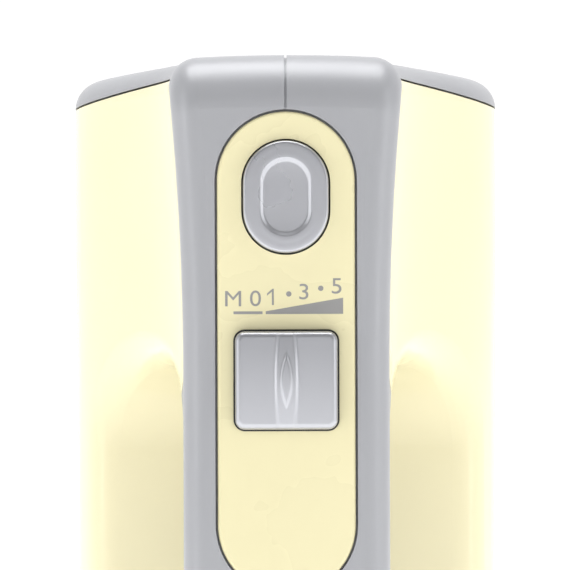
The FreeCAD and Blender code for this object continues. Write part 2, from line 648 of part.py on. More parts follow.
def ejector_plate():
    """Yoke from the rod to both spindles, with a pin down through each spindle."""
    y0, y1 = EJECT_PLATE_Y, EJECT_PLATE_Y + 3.0
    hub = along_y(ROD_RADIUS + 3, y0, y1, 0, BUTTON_Z)
    pieces = [hub]
    for side in (-1, 1):
        x = side * SPINDLE_OFFSET
        arm_length = math.hypot(SPINDLE_OFFSET, BUTTON_Z - WORM_Z)
        arm = Part.makeBox(arm_length, 3.0, 8.0, Vector(0, y0, BUTTON_Z - 4))
        tilt = math.degrees(math.atan2(BUTTON_Z - WORM_Z, x))
        arm.rotate(Vector(0, y0, BUTTON_Z), Vector(0, 1, 0), tilt)
        pieces += [arm, along_y(5.0, y0, y1, x), along_y(PIN_RADIUS, y0, PIN_END_Y, x)]
    return join(pieces).cut(along_y(ROD_RADIUS, y0 - 1, y1 + 1, 0, BUTTON_Z))


def ring_spring(radius, wire, turns, start, length, direction):
    """Compression spring, each of its turns a closed ring."""
    start, direction = Vector(*start), Vector(*direction)
    pitch = (length - 2 * wire) / (turns - 1)
    centres = [start + direction * (wire + pitch * k) for k in range(turns)]
    return Part.makeCompound([Part.makeTorus(radius, wire, centre, direction) for centre in centres])


def eject_spring():
    start = FLANGE_Y + FLANGE + 3.0 + 0.5
    end = GAP_TOP_Y + 4 - 0.5
    return ring_spring(ROD_RADIUS + 1.2, 0.45, 9, (0, start, BUTTON_Z), end - start, (0, 1, 0))


# ---- Speed switch ----------------------------------------------------------------------------
def switch_rib():
    """Lens-shaped finger rib along the middle of the cap."""
    half, sag = RIB_LENGTH / 2, RIB_WIDTH / 2
    top = CARRIER_Y - CARRIER_THICKNESS - SWITCH_HEIGHT - RIB_HEIGHT
    ends = [Vector(0, top, SWITCH_Z - half), Vector(0, top, SWITCH_Z + half)]
    sides = [Part.Arc(ends[0], Vector(x, top, SWITCH_Z), ends[1]).toShape() for x in (-sag, sag)]
    rib = Part.Face(Part.Wire(Part.sortEdges(sides)[0])).extrude(Vector(0, RIB_HEIGHT + 1.5, 0))
    return rib.makeFillet(0.8, edges_at_y(rib, top))


def switch_cap():
    base = CARRIER_Y - CARRIER_THICKNESS
    cap = rounded_plate(SWITCH_WIDTH, SWITCH_LENGTH, SWITCH_CORNER, base - SWITCH_HEIGHT - 1, base, SWITCH_Z)
    crown = Part.makeSphere(SWITCH_CROWN, Vector(0, base - SWITCH_HEIGHT + SWITCH_CROWN, SWITCH_Z))
    cap = cap.common(crown)
    upper = [e for e in cap.Edges if e.BoundBox.YMax < base - 0.5 and e.BoundBox.YMin < base - 1.5]
    upper = [e for e in upper if abs(e.tangentAt(e.FirstParameter).y) < 0.5]
    return join([cap.makeFillet(0.9, upper), switch_rib()])


def switch_slider():
    rim = 2 * CARRIER_RIM
    plate = rounded_plate(SWITCH_WIDTH + rim, SWITCH_LENGTH + rim, SWITCH_CORNER + CARRIER_RIM,
                          CARRIER_Y - CARRIER_THICKNESS, CARRIER_Y, SWITCH_Z)
    stem = box(-STEM_WIDTH / 2, STEM_WIDTH / 2, CARRIER_Y - 0.5, FLANGE_Y + FLANGE,
               SWITCH_Z - STEM_LENGTH / 2, SWITCH_Z + STEM_LENGTH / 2)
    foot_half = STEM_LENGTH / 2 + 2
    foot = box(-3.2, 3.2, FLANGE_Y, FLANGE_Y + FLANGE, SWITCH_Z - foot_half, SWITCH_Z + foot_half)
    return join([plate, stem, foot])


def switch_wiper():
    """Copper leaf under the slider's foot that wipes the control board."""
    top = FLANGE_Y + FLANGE
    root = box(-2.5, 2.5, top, top + 0.4, SWITCH_Z - 4, SWITCH_Z + 4)
    leg = box(-2.5, 2.5, top, BOARD_Y - 0.6, SWITCH_Z + 3.6, SWITCH_Z + 4)
    toe = box(-2.5, 2.5, BOARD_Y - 0.6, BOARD_Y - 0.2, SWITCH_Z - 2, SWITCH_Z + 4)
    return join([root, leg, toe])


def control_board():
    return box(-12, 12, BOARD_Y, BOARD_Y + 1.6, SWITCH_Z - 22, SWITCH_Z + 15)


def board_components():
    y = BOARD_Y + 1.6
    triac = box(-5, 5, y, y + 4.5, SWITCH_Z - 8, SWITCH_Z + 6)
    tab = box(-5, 5, y + 4.5, y + 5.3, SWITCH_Z - 8, SWITCH_Z + 10)
    choke = along_y(5.0, y, y + 9.0, -5.5, SWITCH_Z - 15)
    cap = box(2, 10, y, y + 8.0, SWITCH_Z - 20, SWITCH_Z - 11)
    return Part.makeCompound([triac.fuse(tab), choke, cap])


# ---- Motor -----------------------------------------------------------------------------------
def sector(radius, start, end, z0, z1):
    """Wedge about the motor axis between two angles, in degrees from +X."""
    points = [Vector(0, MOTOR_Y, z0)]
    for angle in (start, end):
        turn = math.radians(angle)
        points.append(Vector(radius * math.cos(turn), MOTOR_Y + radius * math.sin(turn), z0))
    return Part.Face(Part.makePolygon(points + points[:1])).extrude(Vector(0, 0, z1 - z0))


def field_window(z0, z1):
    """Room for the field coils on both sides of the rotor."""
    band = along_z(COIL_RADIUS, z0, z1).cut(along_z(BORE_RADIUS, z0, z1))
    spans = [(a - WINDOW_HALF_ANGLE, a + WINDOW_HALF_ANGLE) for a in (0, 180)]
    wedges = [sector(2 * COIL_RADIUS, a, b, z0, z1) for a, b in spans]
    return band.common(Part.makeCompound(wedges))


def motor_stator():
    block = stator_block(0.0, STATOR_REAR_Z, STATOR_FRONT_Z)
    bore = along_z(BORE_RADIUS, STATOR_REAR_Z, STATOR_FRONT_Z)
    holes = [along_z(SCREW_RADIUS, STATOR_REAR_Z, STATOR_REAR_Z + 14, x, y) for x, y in frame_corners()]
    return block.cut([bore, field_window(STATOR_REAR_Z, STATOR_FRONT_Z)] + holes)


def field_coils():
    """Two coils, one round each pole: a leg in each window and a head past each end."""
    z0, z1 = STATOR_REAR_Z - COIL_HEAD, STATOR_FRONT_Z + COIL_HEAD
    ring = along_z(COIL_RADIUS - 0.2, z0, z1).cut(along_z(BORE_RADIUS + 0.8, z0, z1))
    spans = [(a - POLE_HALF_ANGLE, a + POLE_HALF_ANGLE) for a in (90, 270)]
    iron = [sector(2 * COIL_RADIUS, a, b, STATOR_REAR_Z - 0.2, STATOR_FRONT_Z + 0.2) for a, b in spans]
    ring = ring.cut(iron).cut(box(-30, 30, MOTOR_Y - 0.5, MOTOR_Y + 0.5, z0, z1))
    return ring


def frame_corners():
    return [(x, MOTOR_Y + y) for x in (-20.0, 20.0) for y in (-16.5, 16.5)]


def motor_frame():
    """Rear bearing plate on four legs that stand on the stator."""
    z0 = REAR_BUSH_Z
    plate = box(-23.5, 23.5, MOTOR_Y - 20, MOTOR_Y + 20, z0, z0 + 4)
    windows = [box(x0, x0 + 9, MOTOR_Y - 12, MOTOR_Y + 12, z0, z0 + 4) for x0 in (-19.0, 10.0)]
    hub = along_z(SHAFT_RADIUS + BUSH_WALL + 3, z0, z0 + BUSH_LENGTH)
    legs = [box(x - 3.5, x + 3.5, y - 3.5, y + 3.5, z0, STATOR_REAR_Z) for x, y in frame_corners()]
    frame = join([plate.cut(windows), hub] + legs)
    bores = [along_z(SCREW_RADIUS, z0, STATOR_REAR_Z, x, y) for x, y in frame_corners()]
    return frame.cut([along_z(SHAFT_RADIUS + BUSH_WALL, z0, z0 + BUSH_LENGTH)] + bores)


def motor_screws():
    screws = []
    for x, y in frame_corners():
        head = along_z(SCREW_HEAD_RADIUS, REAR_BUSH_Z - SCREW_HEAD, REAR_BUSH_Z, x, y)
        screws.append(head.fuse(along_z(SCREW_RADIUS, REAR_BUSH_Z, STATOR_REAR_Z + 14, x, y)))
    return Part.makeCompound(screws)


def bush(z0):
    return tube(SHAFT_RADIUS + RUNNING_FIT, SHAFT_RADIUS + BUSH_WALL,
                (0, MOTOR_Y, z0), (0, MOTOR_Y, z0 + BUSH_LENGTH))


def brush_plate():
    z0 = COMMUTATOR_Z - 4.0
    plate = box(-28, 28, MOTOR_Y - 12.5, MOTOR_Y + 12.5, z0, z0 + 2.0)
    return plate.cut(along_z(SHAFT_RADIUS + 4, z0, z0 + 2.0))


def brush_parts():
    """Holders, carbon brushes and their springs, one of each on both sides."""
    z0 = COMMUTATOR_Z - 2.0
    holders, brushes, springs = [], [], []
    for side in (-1, 1):
        def span(a, b, dy, za, zb):
            x0, x1 = sorted((side * a, side * b))
            return box(x0, x1, MOTOR_Y - dy, MOTOR_Y + dy, za, zb)
        inner = COMMUTATOR_RADIUS + 1.2
        shell = span(inner, 28, 4.0, z0, BRUSH_Z + 4.0)
        holders.append(shell.cut(span(inner, 27, 2.6, BRUSH_Z - 2.6, BRUSH_Z + 2.6)))
        brush = span(COMMUTATOR_RADIUS - 1, 20, 2.5, BRUSH_Z - 2.5, BRUSH_Z + 2.5)
        brushes.append(brush.cut(along_z(COMMUTATOR_RADIUS + 0.1, z0, BRUSH_Z + 4)))
        springs.append(ring_spring(1.7, 0.3, 5, (side * 20.2, MOTOR_Y, BRUSH_Z), 6.4, (side, 0, 0)))
    return [Part.makeCompound(group) for group in (holders, brushes, springs)]


def motor_shaft():
    return along_z(SHAFT_RADIUS, REAR_BUSH_Z - 1.5, FRONT_BUSH_Z + BUSH_LENGTH + 1)


def rotor_slots(radius, z0, z1):
    """The slots that hold the rotor's windings, open to the air gap."""
    mouth = box(radius - SLOT_DEPTH, radius + 2, MOTOR_Y - 0.7, MOTOR_Y + 0.7, z0, z1)
    slot = along_z(SLOT_RADIUS, z0, z1, radius - SLOT_DEPTH).fuse(mouth)
    slots = []
    for k in range(SLOTS):
        copy = slot.copy()
        copy.rotate(Vector(0, MOTOR_Y, 0), Vector(0, 0, 1), 360.0 * k / SLOTS)
        slots.append(copy)
    return slots


def rotor_core():
    radius = BORE_RADIUS - AIR_GAP
    z0, z1 = STATOR_REAR_Z + 2, STATOR_FRONT_Z - 2
    core = tube(SHAFT_RADIUS, radius, (0, MOTOR_Y, z0), (0, MOTOR_Y, z1))
    return core.cut(rotor_slots(radius, z0, z1))


def rotor_windings():
    radius = BORE_RADIUS - AIR_GAP
    z0, z1 = STATOR_REAR_Z + 2, STATOR_FRONT_Z - 2
    heads = []
    for za, zb in ((z0 - 5, z0), (z1, z1 + 5)):
        heads.append(tube(SHAFT_RADIUS + 1.5, radius - 1.0, (0, MOTOR_Y, za), (0, MOTOR_Y, zb)))
    bars = []
    for k in range(SLOTS):
        turn = 2 * math.pi * k / SLOTS
        reach = radius - SLOT_DEPTH
        x, y = reach * math.cos(turn), MOTOR_Y + reach * math.sin(turn)
        bars.append(along_z(SLOT_RADIUS - 0.2, z0 - 1, z1 + 1, x, y))
    return join(heads + bars)


def commutator():
    z0, z1 = COMMUTATOR_Z, COMMUTATOR_Z + COMMUTATOR_LENGTH
    drum = tube(SHAFT_RADIUS, COMMUTATOR_RADIUS, (0, MOTOR_Y, z0), (0, MOTOR_Y, z1))
    cuts = []
    for k in range(2 * SLOTS):
        cut = box(COMMUTATOR_RADIUS - 0.8, COMMUTATOR_RADIUS + 1, MOTOR_Y - 0.2, MOTOR_Y + 0.2, z0, z1)
        cut.rotate(Vector(0, MOTOR_Y, 0), Vector(0, 0, 1), 360.0 * (k + 0.5) / (2 * SLOTS))
        cuts.append(cut)
    return drum.cut(cuts)


def cooling_fan():
    hub = tube(SHAFT_RADIUS, 8.0, (0, MOTOR_Y, FAN_Z), (0, MOTOR_Y, FAN_Z + FAN_HEIGHT))
    top = FAN_Z + FAN_HEIGHT
    disc = tube(SHAFT_RADIUS, FAN_RADIUS, (0, MOTOR_Y, top - FAN_DISC), (0, MOTOR_Y, top))
    blades = []
    for k in range(FAN_BLADES):
        blade = box(7.5, FAN_RADIUS - 0.5, MOTOR_Y - 0.7, MOTOR_Y + 0.7, FAN_Z, FAN_Z + FAN_HEIGHT - 1)
        blade.rotate(Vector(0, MOTOR_Y, 0), Vector(0, 0, 1), 360.0 * k / FAN_BLADES)
        blades.append(blade)
    return join([hub, disc] + blades)


# ---- Gears -----------------------------------------------------------------------------------
def worm():
    """Two-start right-hand worm; a thread crest faces each wheel at the wheels' height."""
    z0 = WORM_Z - WORM_LENGTH / 2
    root, crest = WORM_PITCH_RADIUS - DEDENDUM, WORM_PITCH_RADIUS + ADDENDUM
    half_root = TOOTH_PITCH / 4 - BACKLASH / 2 + 0.35
    half_crest = TOOTH_PITCH / 4 - BACKLASH / 2 - 0.3
    pieces = [tube(SHAFT_RADIUS, root, (0, MOTOR_Y, z0), (0, MOTOR_Y, z0 + WORM_LENGTH))]
    thread_length = WORM_LENGTH - 2 * half_root - 1.0
    start = z0 + half_root + 0.5
    for k in range(WORM_STARTS):
        profile = Part.makePolygon([
            Vector(root - 0.3, 0, -half_root), Vector(crest, 0, -half_crest),
            Vector(crest, 0, half_crest), Vector(root - 0.3, 0, half_root), Vector(root - 0.3, 0, -half_root),
        ])
        helix = Part.Wire(Part.makeHelix(WORM_LEAD, thread_length, WORM_PITCH_RADIUS))
        thread = helix.makePipeShell([Part.Wire(profile.Edges)], True, True)
        turn = 360.0 * ((start - WORM_Z) / WORM_LEAD + k / WORM_STARTS)
        thread.rotate(Vector(0, 0, 0), Vector(0, 0, 1), turn)
        thread.translate(Vector(0, MOTOR_Y, start))
        pieces.append(thread)
    return join(pieces)


def slanted_tooth(x, angle):
    """One tooth of a wheel: a wedge-shaped bar that leans with the worm's thread."""
    root, crest = WHEEL_PITCH_RADIUS - DEDENDUM, WHEEL_PITCH_RADIUS + ADDENDUM
    half_root = (TOOTH_PITCH / 4 - BACKLASH / 2 + 0.25) / root
    half_crest = (TOOTH_PITCH / 4 - BACKLASH / 2 - 0.25) / crest
    lean = WORM_LEAD / (2 * math.pi * WORM_PITCH_RADIUS) * WHEEL_FACE
    along = Vector(-math.sin(angle) * lean, WHEEL_FACE, -math.cos(angle) * lean)
    points = []
    inside = root - 0.5
    corners = ((inside, -half_root), (crest, -half_crest), (crest, half_crest), (inside, half_root))
    for radius, offset in corners:
        turn = angle + offset
        middle = Vector(x + radius * math.cos(turn), MOTOR_Y, WORM_Z - radius * math.sin(turn))
        points.append(middle - along / 2)
    return Part.Face(Part.makePolygon(points + points[:1])).extrude(along)


def worm_wheel(x):
    """Helical wheel on its spindle, a tooth gap facing the worm."""
    y0, y1 = MOTOR_Y - WHEEL_FACE / 2, MOTOR_Y + WHEEL_FACE / 2
    teeth = [slanted_tooth(x, 2 * math.pi * (k + 0.5) / WHEEL_TEETH) for k in range(WHEEL_TEETH)]
    rim = along_y(WHEEL_PITCH_RADIUS - DEDENDUM, y0, y1, x)
    hub = along_y(SPINDLE_RADIUS + 3, y0 - 3, y1 + 3, x)
    groove_outer, groove_inner = WHEEL_PITCH_RADIUS - DEDENDUM - 2.5, SPINDLE_RADIUS + 3.0
    grooves = []
    for ya, yb in ((y0, y0 + 2.5), (y1 - 2.5, y1)):
        grooves.append(along_y(groove_outer, ya, yb, x).cut(along_y(groove_inner, ya, yb, x)))
    return rim.fuse(teeth).cut(grooves).fuse(hub).cut(along_y(SPINDLE_RADIUS, y0 - 4, y1 + 4, x))


def spindle(x):
    """Hollow spindle: pin hole from the top, beater socket from below, two drive slots."""
    body = along_y(SPINDLE_RADIUS, SPINDLE_TOP_Y, SPINDLE_END_Y, x)
    socket = along_y(SOCKET_RADIUS, PIN_END_Y - 1.0, SPINDLE_END_Y, x)
    hole = along_y(PIN_HOLE, SPINDLE_TOP_Y, SPINDLE_END_Y, x)
    reach = SPINDLE_RADIUS + 1
    slot = box(x - 0.9, x + 0.9, SPINDLE_END_Y - 9, SPINDLE_END_Y, WORM_Z - reach, WORM_Z + reach)
    return body.cut([socket, hole, slot])


def gearbox_base():
    """Upper gearbox plate with the middle and front bearing blocks."""
    z0, z1 = MID_BUSH_Z, FRONT_BUSH_Z + BUSH_LENGTH
    plate_end = GEARBOX_TOP_Y + GEARBOX_PLATE
    plate = box(-GEARBOX_HALF, GEARBOX_HALF, GEARBOX_TOP_Y, plate_end, z0, z1)
    block_end = GEARBOX_END_Y - GEARBOX_PLATE
    blocks = [
        box(-MID_BLOCK_HALF, MID_BLOCK_HALF, plate_end, block_end, z0, z0 + BUSH_LENGTH),
        box(-FRONT_BLOCK_HALF, FRONT_BLOCK_HALF, plate_end, block_end, z1 - BUSH_LENGTH, z1),
    ]
    cuts = [along_z(SHAFT_RADIUS + BUSH_WALL, z0 - 1, z1 + 1)]
    for x in SPINDLE_XS:
        cuts.append(along_y(SPINDLE_RADIUS + 2, GEARBOX_TOP_Y, plate_end, x))
    for x, z in gearbox_screw_points():
        cuts.append(along_y(SCREW_RADIUS, GEARBOX_END_Y - 16, GEARBOX_END_Y, x, z))
    return join([plate] + blocks).cut(cuts)


def gearbox_screw_points():
    rear = MID_BUSH_Z + BUSH_LENGTH / 2
    front = FRONT_BUSH_Z + BUSH_LENGTH / 2
    return [(-10, rear), (10, rear), (-8, front), (8, front)]


def gearbox_cover():
    z0, z1 = MID_BUSH_Z, FRONT_BUSH_Z + BUSH_LENGTH
    plate = box(-GEARBOX_HALF, GEARBOX_HALF, GEARBOX_END_Y - GEARBOX_PLATE, GEARBOX_END_Y, z0, z1)
    cuts = []
    for x in SPINDLE_XS:
        cuts.append(along_y(SPINDLE_RADIUS + 2, GEARBOX_END_Y - GEARBOX_PLATE, GEARBOX_END_Y, x))
    for x, z in gearbox_screw_points():
        cuts.append(along_y(SCREW_RADIUS, GEARBOX_END_Y - 16, GEARBOX_END_Y, x, z))
    return plate.cut(cuts)


def gearbox_screws():
    screws = []
    for x, z in gearbox_screw_points():
        head = along_y(SCREW_HEAD_RADIUS, GEARBOX_END_Y, GEARBOX_END_Y + SCREW_HEAD, x, z)
        screws.append(head.fuse(along_y(SCREW_RADIUS, GEARBOX_END_Y - 14, GEARBOX_END_Y, x, z)))
    return Part.makeCompound(screws)


def spindle_bushes():
    sleeves = []
    for x in SPINDLE_XS:
        for y0 in (GEARBOX_TOP_Y, GEARBOX_END_Y - GEARBOX_PLATE):
            sleeves.append(tube(SPINDLE_RADIUS + RUNNING_FIT, SPINDLE_RADIUS + 2,
                                (x, y0, WORM_Z), (x, y0 + GEARBOX_PLATE, WORM_Z)))
    return Part.makeCompound(sleeves)


def socket_ring(x):
    """Ring in the belly round a spindle's mouth, with a flange outside."""
    sleeve = along_y(SOCKET_RING_RADIUS, BELLY_Y - SHELL - 1.5, BELLY_Y + 0.2, x)
    flange = along_y(SOCKET_RING_RADIUS + 2.5, BELLY_Y + 0.2, BELLY_Y + 1.8, x)
    ring = sleeve.fuse(flange)
    ring = ring.makeFillet(0.7, edges_at_y(ring, BELLY_Y + 1.8))
    return ring.cut(along_y(SOCKET_RING_BORE, BELLY_Y - 10, BELLY_Y + 3, x))


# ---- Beaters -----------------------------------------------------------------------------------
def beater_shaft(x):
    shaft = along_y(SOCKET_RADIUS - BEATER_FIT, BEATER_TOP_Y, CAGE_TOP_Y + 6, x)
    lug = box(x - 0.6, x + 0.6, SPINDLE_END_Y - 8, SPINDLE_END_Y - 1, WORM_Z - 5.3, WORM_Z + 5.3)
    bar = join([shaft, lug])
    return bar.makeChamfer(0.8, edges_at_y(bar, BEATER_TOP_Y))


def beater_collar(x):
    y0 = BELLY_Y + 3.2
    collar = along_y(6.8, y0, y0 + 6, x)
    collar = collar.makeFillet(1.0, collar.Edges)
    return collar.cut(along_y(SOCKET_RADIUS - BEATER_FIT, y0 - 1, y0 + 7, x))


def beater_wires(x, turn):
    """Four bent wires between a hub on the shaft and a cap at the tip."""
    top, tip = CAGE_TOP_Y, BEATER_TIP_Y
    inner = SOCKET_RADIUS - BEATER_FIT + 1.2
    corners = [(inner, top + 2), (BEATER_RADIUS, top + 22), (BEATER_RADIUS - 2.5, tip - 14), (3.0, tip - 2.5)]
    path = bent_path(corners, BEATER_RADIUS)
    section = Part.Wire(Part.makeCircle(BEATER_WIRE, Vector(inner, top + 2, 0), tangent_at_start(corners)))
    wire = Part.Wire(path).makePipeShell([section], True, False)
    pieces = []
    for k in range(4):
        copy = wire.copy()
        copy.rotate(Vector(0, 0, 0), Vector(0, 1, 0), turn + 90.0 * k)
        copy.translate(Vector(x, 0, WORM_Z))
        pieces.append(copy)
    hub = along_y(inner + 1.2, top - 1, top + 6, x)
    cap = along_y(4.2, tip - 4.5, tip, x)
    cap = cap.makeFillet(1.2, edges_at_y(cap, tip))
    return join([hub, cap] + pieces).cut(along_y(SOCKET_RADIUS - BEATER_FIT, top - 2, top + 6, x))


def tangent_at_start(corners):
    (r0, y0), (r1, y1) = corners[:2]
    return Vector(r1 - r0, y1 - y0, 0)


def bent_path(corners, radius):
    """Straight runs joined by tangent arcs, from (reach, Y) corners in one plane."""
    points = [Vector(r, y, 0) for r, y in corners]
    edges = []
    start = points[0]
    for before, here, after in zip(points, points[1:], points[2:]):
        back, on = (before - here).normalize(), (after - here).normalize()
        half = back.getAngle(on) / 2
        reach = radius / math.tan(half)
        first, last = here + back * reach, here + on * reach
        middle = here + (back + on).normalize() * (radius / math.sin(half) - radius)
        edges.append(Part.LineSegment(start, first).toShape())
        edges.append(Part.Arc(first, middle, last).toShape())
        start = last
    edges.append(Part.LineSegment(start, points[-1]).toShape())
    return edges


# ---- Build ---------------------------------------------------------------------------------------
def build():
    outer = form(0.0)
    cover_back = form(COVER_THICKNESS)
    floor = form(COVER_FLOOR)
    cavity = form(SHELL)
    rib_limit = form(SHELL - 0.1)
    groove_floor = form(SEAM_DEPTH)

    nodes = {}
    whole = housing(outer, floor, cavity, rib_limit, groove_floor)
    wide = BODY_WIDTH
    right = box(0, wide, GRIP_Y - 10, BELLY_Y + 10, -5, FRONT_Z + 5)
    nodes["housing_right"] = whole.common(right)
    nodes["housing_left"] = whole.common(mirrored(right))
    cover = outer.common(cover_region(0.0)).cut(cover_back)
    nodes["side_cover_right"] = cover
    nodes["side_cover_left"] = mirrored(cover)
    nodes["control_panel"] = control_panel()
    nodes["housing_screws"] = housing_screws()
    nodes["heel_pad"] = pad_outline(0.0, 0.0, PAD_PROUD + PAD_DEPTH)
    nodes["cord_inlet"] = cord_inlet()

    nodes["eject_button"] = eject_button()
    nodes["ejector_rod"] = ejector_rod()
    nodes["ejector_plate"] = ejector_plate()
    nodes["eject_spring"] = eject_spring()

    nodes["switch_cap"] = switch_cap()
    nodes["switch_slider"] = switch_slider()
    nodes["switch_wiper"] = switch_wiper()
    nodes["control_board"] = control_board()
    nodes["board_components"] = board_components()

    nodes["motor_stator"] = motor_stator()
    nodes["field_coils"] = field_coils()
    nodes["motor_frame"] = motor_frame()
    nodes["motor_screws"] = motor_screws()
    nodes["rear_bush"] = bush(REAR_BUSH_Z)
    nodes["middle_bush"] = bush(MID_BUSH_Z)
    nodes["front_bush"] = bush(FRONT_BUSH_Z)
    nodes["brush_plate"] = brush_plate()
    nodes["brush_holders"], nodes["carbon_brushes"], nodes["brush_springs"] = brush_parts()
    nodes["motor_shaft"] = motor_shaft()
    nodes["rotor_core"] = rotor_core()
    nodes["rotor_windings"] = rotor_windings()
    nodes["commutator"] = commutator()
    nodes["cooling_fan"] = cooling_fan()

    nodes["worm"] = worm()
    nodes["gearbox_base"] = gearbox_base()
    nodes["gearbox_cover"] = gearbox_cover()
    nodes["gearbox_screws"] = gearbox_screws()
    nodes["spindle_bushes"] = spindle_bushes()
    for side, x, turn in (("left", -SPINDLE_OFFSET, 45.0), ("right", SPINDLE_OFFSET, 0.0)):
        nodes["worm_wheel_" + side] = worm_wheel(x)
        nodes["spindle_" + side] = spindle(x)
        nodes["socket_ring_" + side] = socket_ring(x)
        nodes["beater_shaft_" + side] = beater_shaft(x)
        nodes["beater_collar_" + side] = beater_collar(x)
        nodes["beater_wires_" + side] = beater_wires(x, turn)
    return nodes


os.makedirs("parts", exist_ok=True)
for name, shape in build().items():
    if not shape.isValid() or not shape.Solids:
        print("not a valid solid:", name)
    shape.exportStep("parts/" + name + ".step")
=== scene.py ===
import math

import bmesh
import bpy
import numpy as np
from mathutils import Matrix, Vector


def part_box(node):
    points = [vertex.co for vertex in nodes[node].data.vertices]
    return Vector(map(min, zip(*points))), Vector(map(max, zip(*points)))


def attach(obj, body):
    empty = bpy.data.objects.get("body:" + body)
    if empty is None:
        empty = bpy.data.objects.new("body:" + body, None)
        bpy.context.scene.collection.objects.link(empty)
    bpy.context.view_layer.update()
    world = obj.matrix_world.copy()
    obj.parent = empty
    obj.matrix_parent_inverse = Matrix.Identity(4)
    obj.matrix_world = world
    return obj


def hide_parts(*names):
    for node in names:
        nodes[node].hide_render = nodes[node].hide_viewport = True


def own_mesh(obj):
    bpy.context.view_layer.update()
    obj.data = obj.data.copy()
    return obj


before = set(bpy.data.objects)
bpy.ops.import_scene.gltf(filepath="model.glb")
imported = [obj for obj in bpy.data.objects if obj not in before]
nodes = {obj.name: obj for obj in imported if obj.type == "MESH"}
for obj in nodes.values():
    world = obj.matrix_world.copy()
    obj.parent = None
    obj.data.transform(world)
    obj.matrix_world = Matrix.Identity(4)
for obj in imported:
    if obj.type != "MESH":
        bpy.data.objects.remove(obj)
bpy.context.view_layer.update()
MM = 0.001

# ---------------------------------------------------------------------------------------
# Studio. A wide glowing white floor, a sky that is brightest behind and to the sides, a
# tall soft light on each side, one above the nose and one behind the camera, which looks
# square on to the grip's control face.
# ---------------------------------------------------------------------------------------
panel_low, panel_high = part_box("control_panel")
FACE_Y = panel_low.y
CAMERA_DISTANCE = 1.0
CAMERA_RISE = 12.6 * MM      # above the middle of the control panel
CAMERA_SIDE = -0.2 * MM
CAMERA_ROLL = math.radians(0.2)
FIELD = 106.0 * MM           # width of the picture at the control face
SENSOR = 36.0
scene = bpy.context.scene
scene.view_settings.view_transform = "Standard"

camera_data = bpy.data.cameras.new("camera")
camera_data.sensor_width = SENSOR
camera_data.lens = SENSOR * CAMERA_DISTANCE / FIELD
camera = bpy.data.objects.new("camera", camera_data)
camera_z = (panel_low.z + panel_high.z) / 2 + CAMERA_RISE
camera.location = (CAMERA_SIDE, FACE_Y - CAMERA_DISTANCE, camera_z)
camera.rotation_euler = (math.pi / 2, CAMERA_ROLL, 0)
scene.collection.objects.link(camera)
scene.camera = camera


def linear(code):
    """sRGB hex to linear colour: c / 12.92 up to 0.04045, else ((c + 0.055) / 1.055) ** 2.4."""
    channels = [int(code[i:i + 2], 16) / 255 for i in (1, 3, 5)]
    return [c / 12.92 if c <= 0.04045 else ((c + 0.055) / 1.055) ** 2.4 for c in channels] + [1.0]


def add(tree, kind, settings=None, inputs=None):
    """Adds a node, sets its attributes, then fills its inputs with values or links."""
    node = tree.nodes.new(kind)
    for name, value in (settings or {}).items():
        setattr(node, name, value)
    for name, value in (inputs or {}).items():
        if isinstance(value, bpy.types.NodeSocket):
            tree.links.new(value, node.inputs[name])
        else:
            node.inputs[name].default_value = value
    return node


def soft_light(name, place, target, size, power, glossy=True):
    """Rectangular soft light at place, facing target; glossy says whether gloss mirrors it."""
    data = bpy.data.lights.new(name, "AREA")
    data.shape = "RECTANGLE"
    data.size, data.size_y = size
    data.energy = power
    light = bpy.data.objects.new(name, data)
    light.visible_glossy = glossy
    light.location = place
    light.rotation_euler = (Vector(target) - Vector(place)).to_track_quat("-Z", "Y").to_euler()
    scene.collection.objects.link(light)


soft_light("left_box", (-1.3, -0.55, 0.3), (0, 0, 0.12), (0.28, 1.4), 2.8)
soft_light("right_box", (1.3, -0.55, 0.3), (0, 0, 0.12), (0.28, 1.4), 2.8)
soft_light("top_box", (0, 0.1, 1.6), (0, 0, 0.15), (1.6, 1.0), 26.0)
soft_light("front_box", (0, -3.0, 0.3), (0, 0, 0.12), (1.6, 1.2), 19.0, glossy=False)

SKY_IN_FRONT = 0.2           # brightness of the sky behind the camera
SKY_BEHIND = 1.15            # and of the sky behind the mixer
SIDE_SHARE = 0.45            # the sides count for this much of the sky behind
BACKDROP = 1.05              # the sky as the camera sees it
world = bpy.data.worlds.new("white_studio")
world.use_nodes = True
sky = world.node_tree
sky.nodes.clear()
direction = add(sky, "ShaderNodeTexCoord")
parts = add(sky, "ShaderNodeSeparateXYZ", inputs={"Vector": direction.outputs["Generated"]})
squared = add(sky, "ShaderNodeMath", {"operation": "MULTIPLY"}, {
    0: parts.outputs["X"], 1: parts.outputs["X"]})
sideways = add(sky, "ShaderNodeMath", {"operation": "MULTIPLY"}, {
    0: squared.outputs["Value"], 1: SIDE_SHARE})
behind = add(sky, "ShaderNodeMath", {"operation": "MAXIMUM"}, {
    0: parts.outputs["Y"], 1: sideways.outputs["Value"]})
ramp = add(sky, "ShaderNodeMapRange", inputs={
    "Value": behind.outputs["Value"], "From Min": 0.1, "From Max": 0.8,
    "To Min": SKY_IN_FRONT, "To Max": SKY_BEHIND})
rays = add(sky, "ShaderNodeLightPath")
level = add(sky, "ShaderNodeMix", {"data_type": "FLOAT"}, {
    0: rays.outputs["Is Camera Ray"], 2: ramp.outputs["Result"], 3: BACKDROP})
background = add(sky, "ShaderNodeBackground", inputs={
    "Color": (1.0, 1.0, 1.0, 1.0), "Strength": level.outputs[0]})
add(sky, "ShaderNodeOutputWorld", inputs={"Surface": background.outputs["Background"]})
scene.world = world


def material(name):
    """New material with an empty tree, its Principled shader already on the output."""
    made = bpy.data.materials.new(name)
    made.use_nodes = True
    tree = made.node_tree
    tree.nodes.clear()
    shader = add(tree, "ShaderNodeBsdfPrincipled")
    add(tree, "ShaderNodeOutputMaterial", inputs={"Surface": shader.outputs["BSDF"]})
    return made, tree, shader


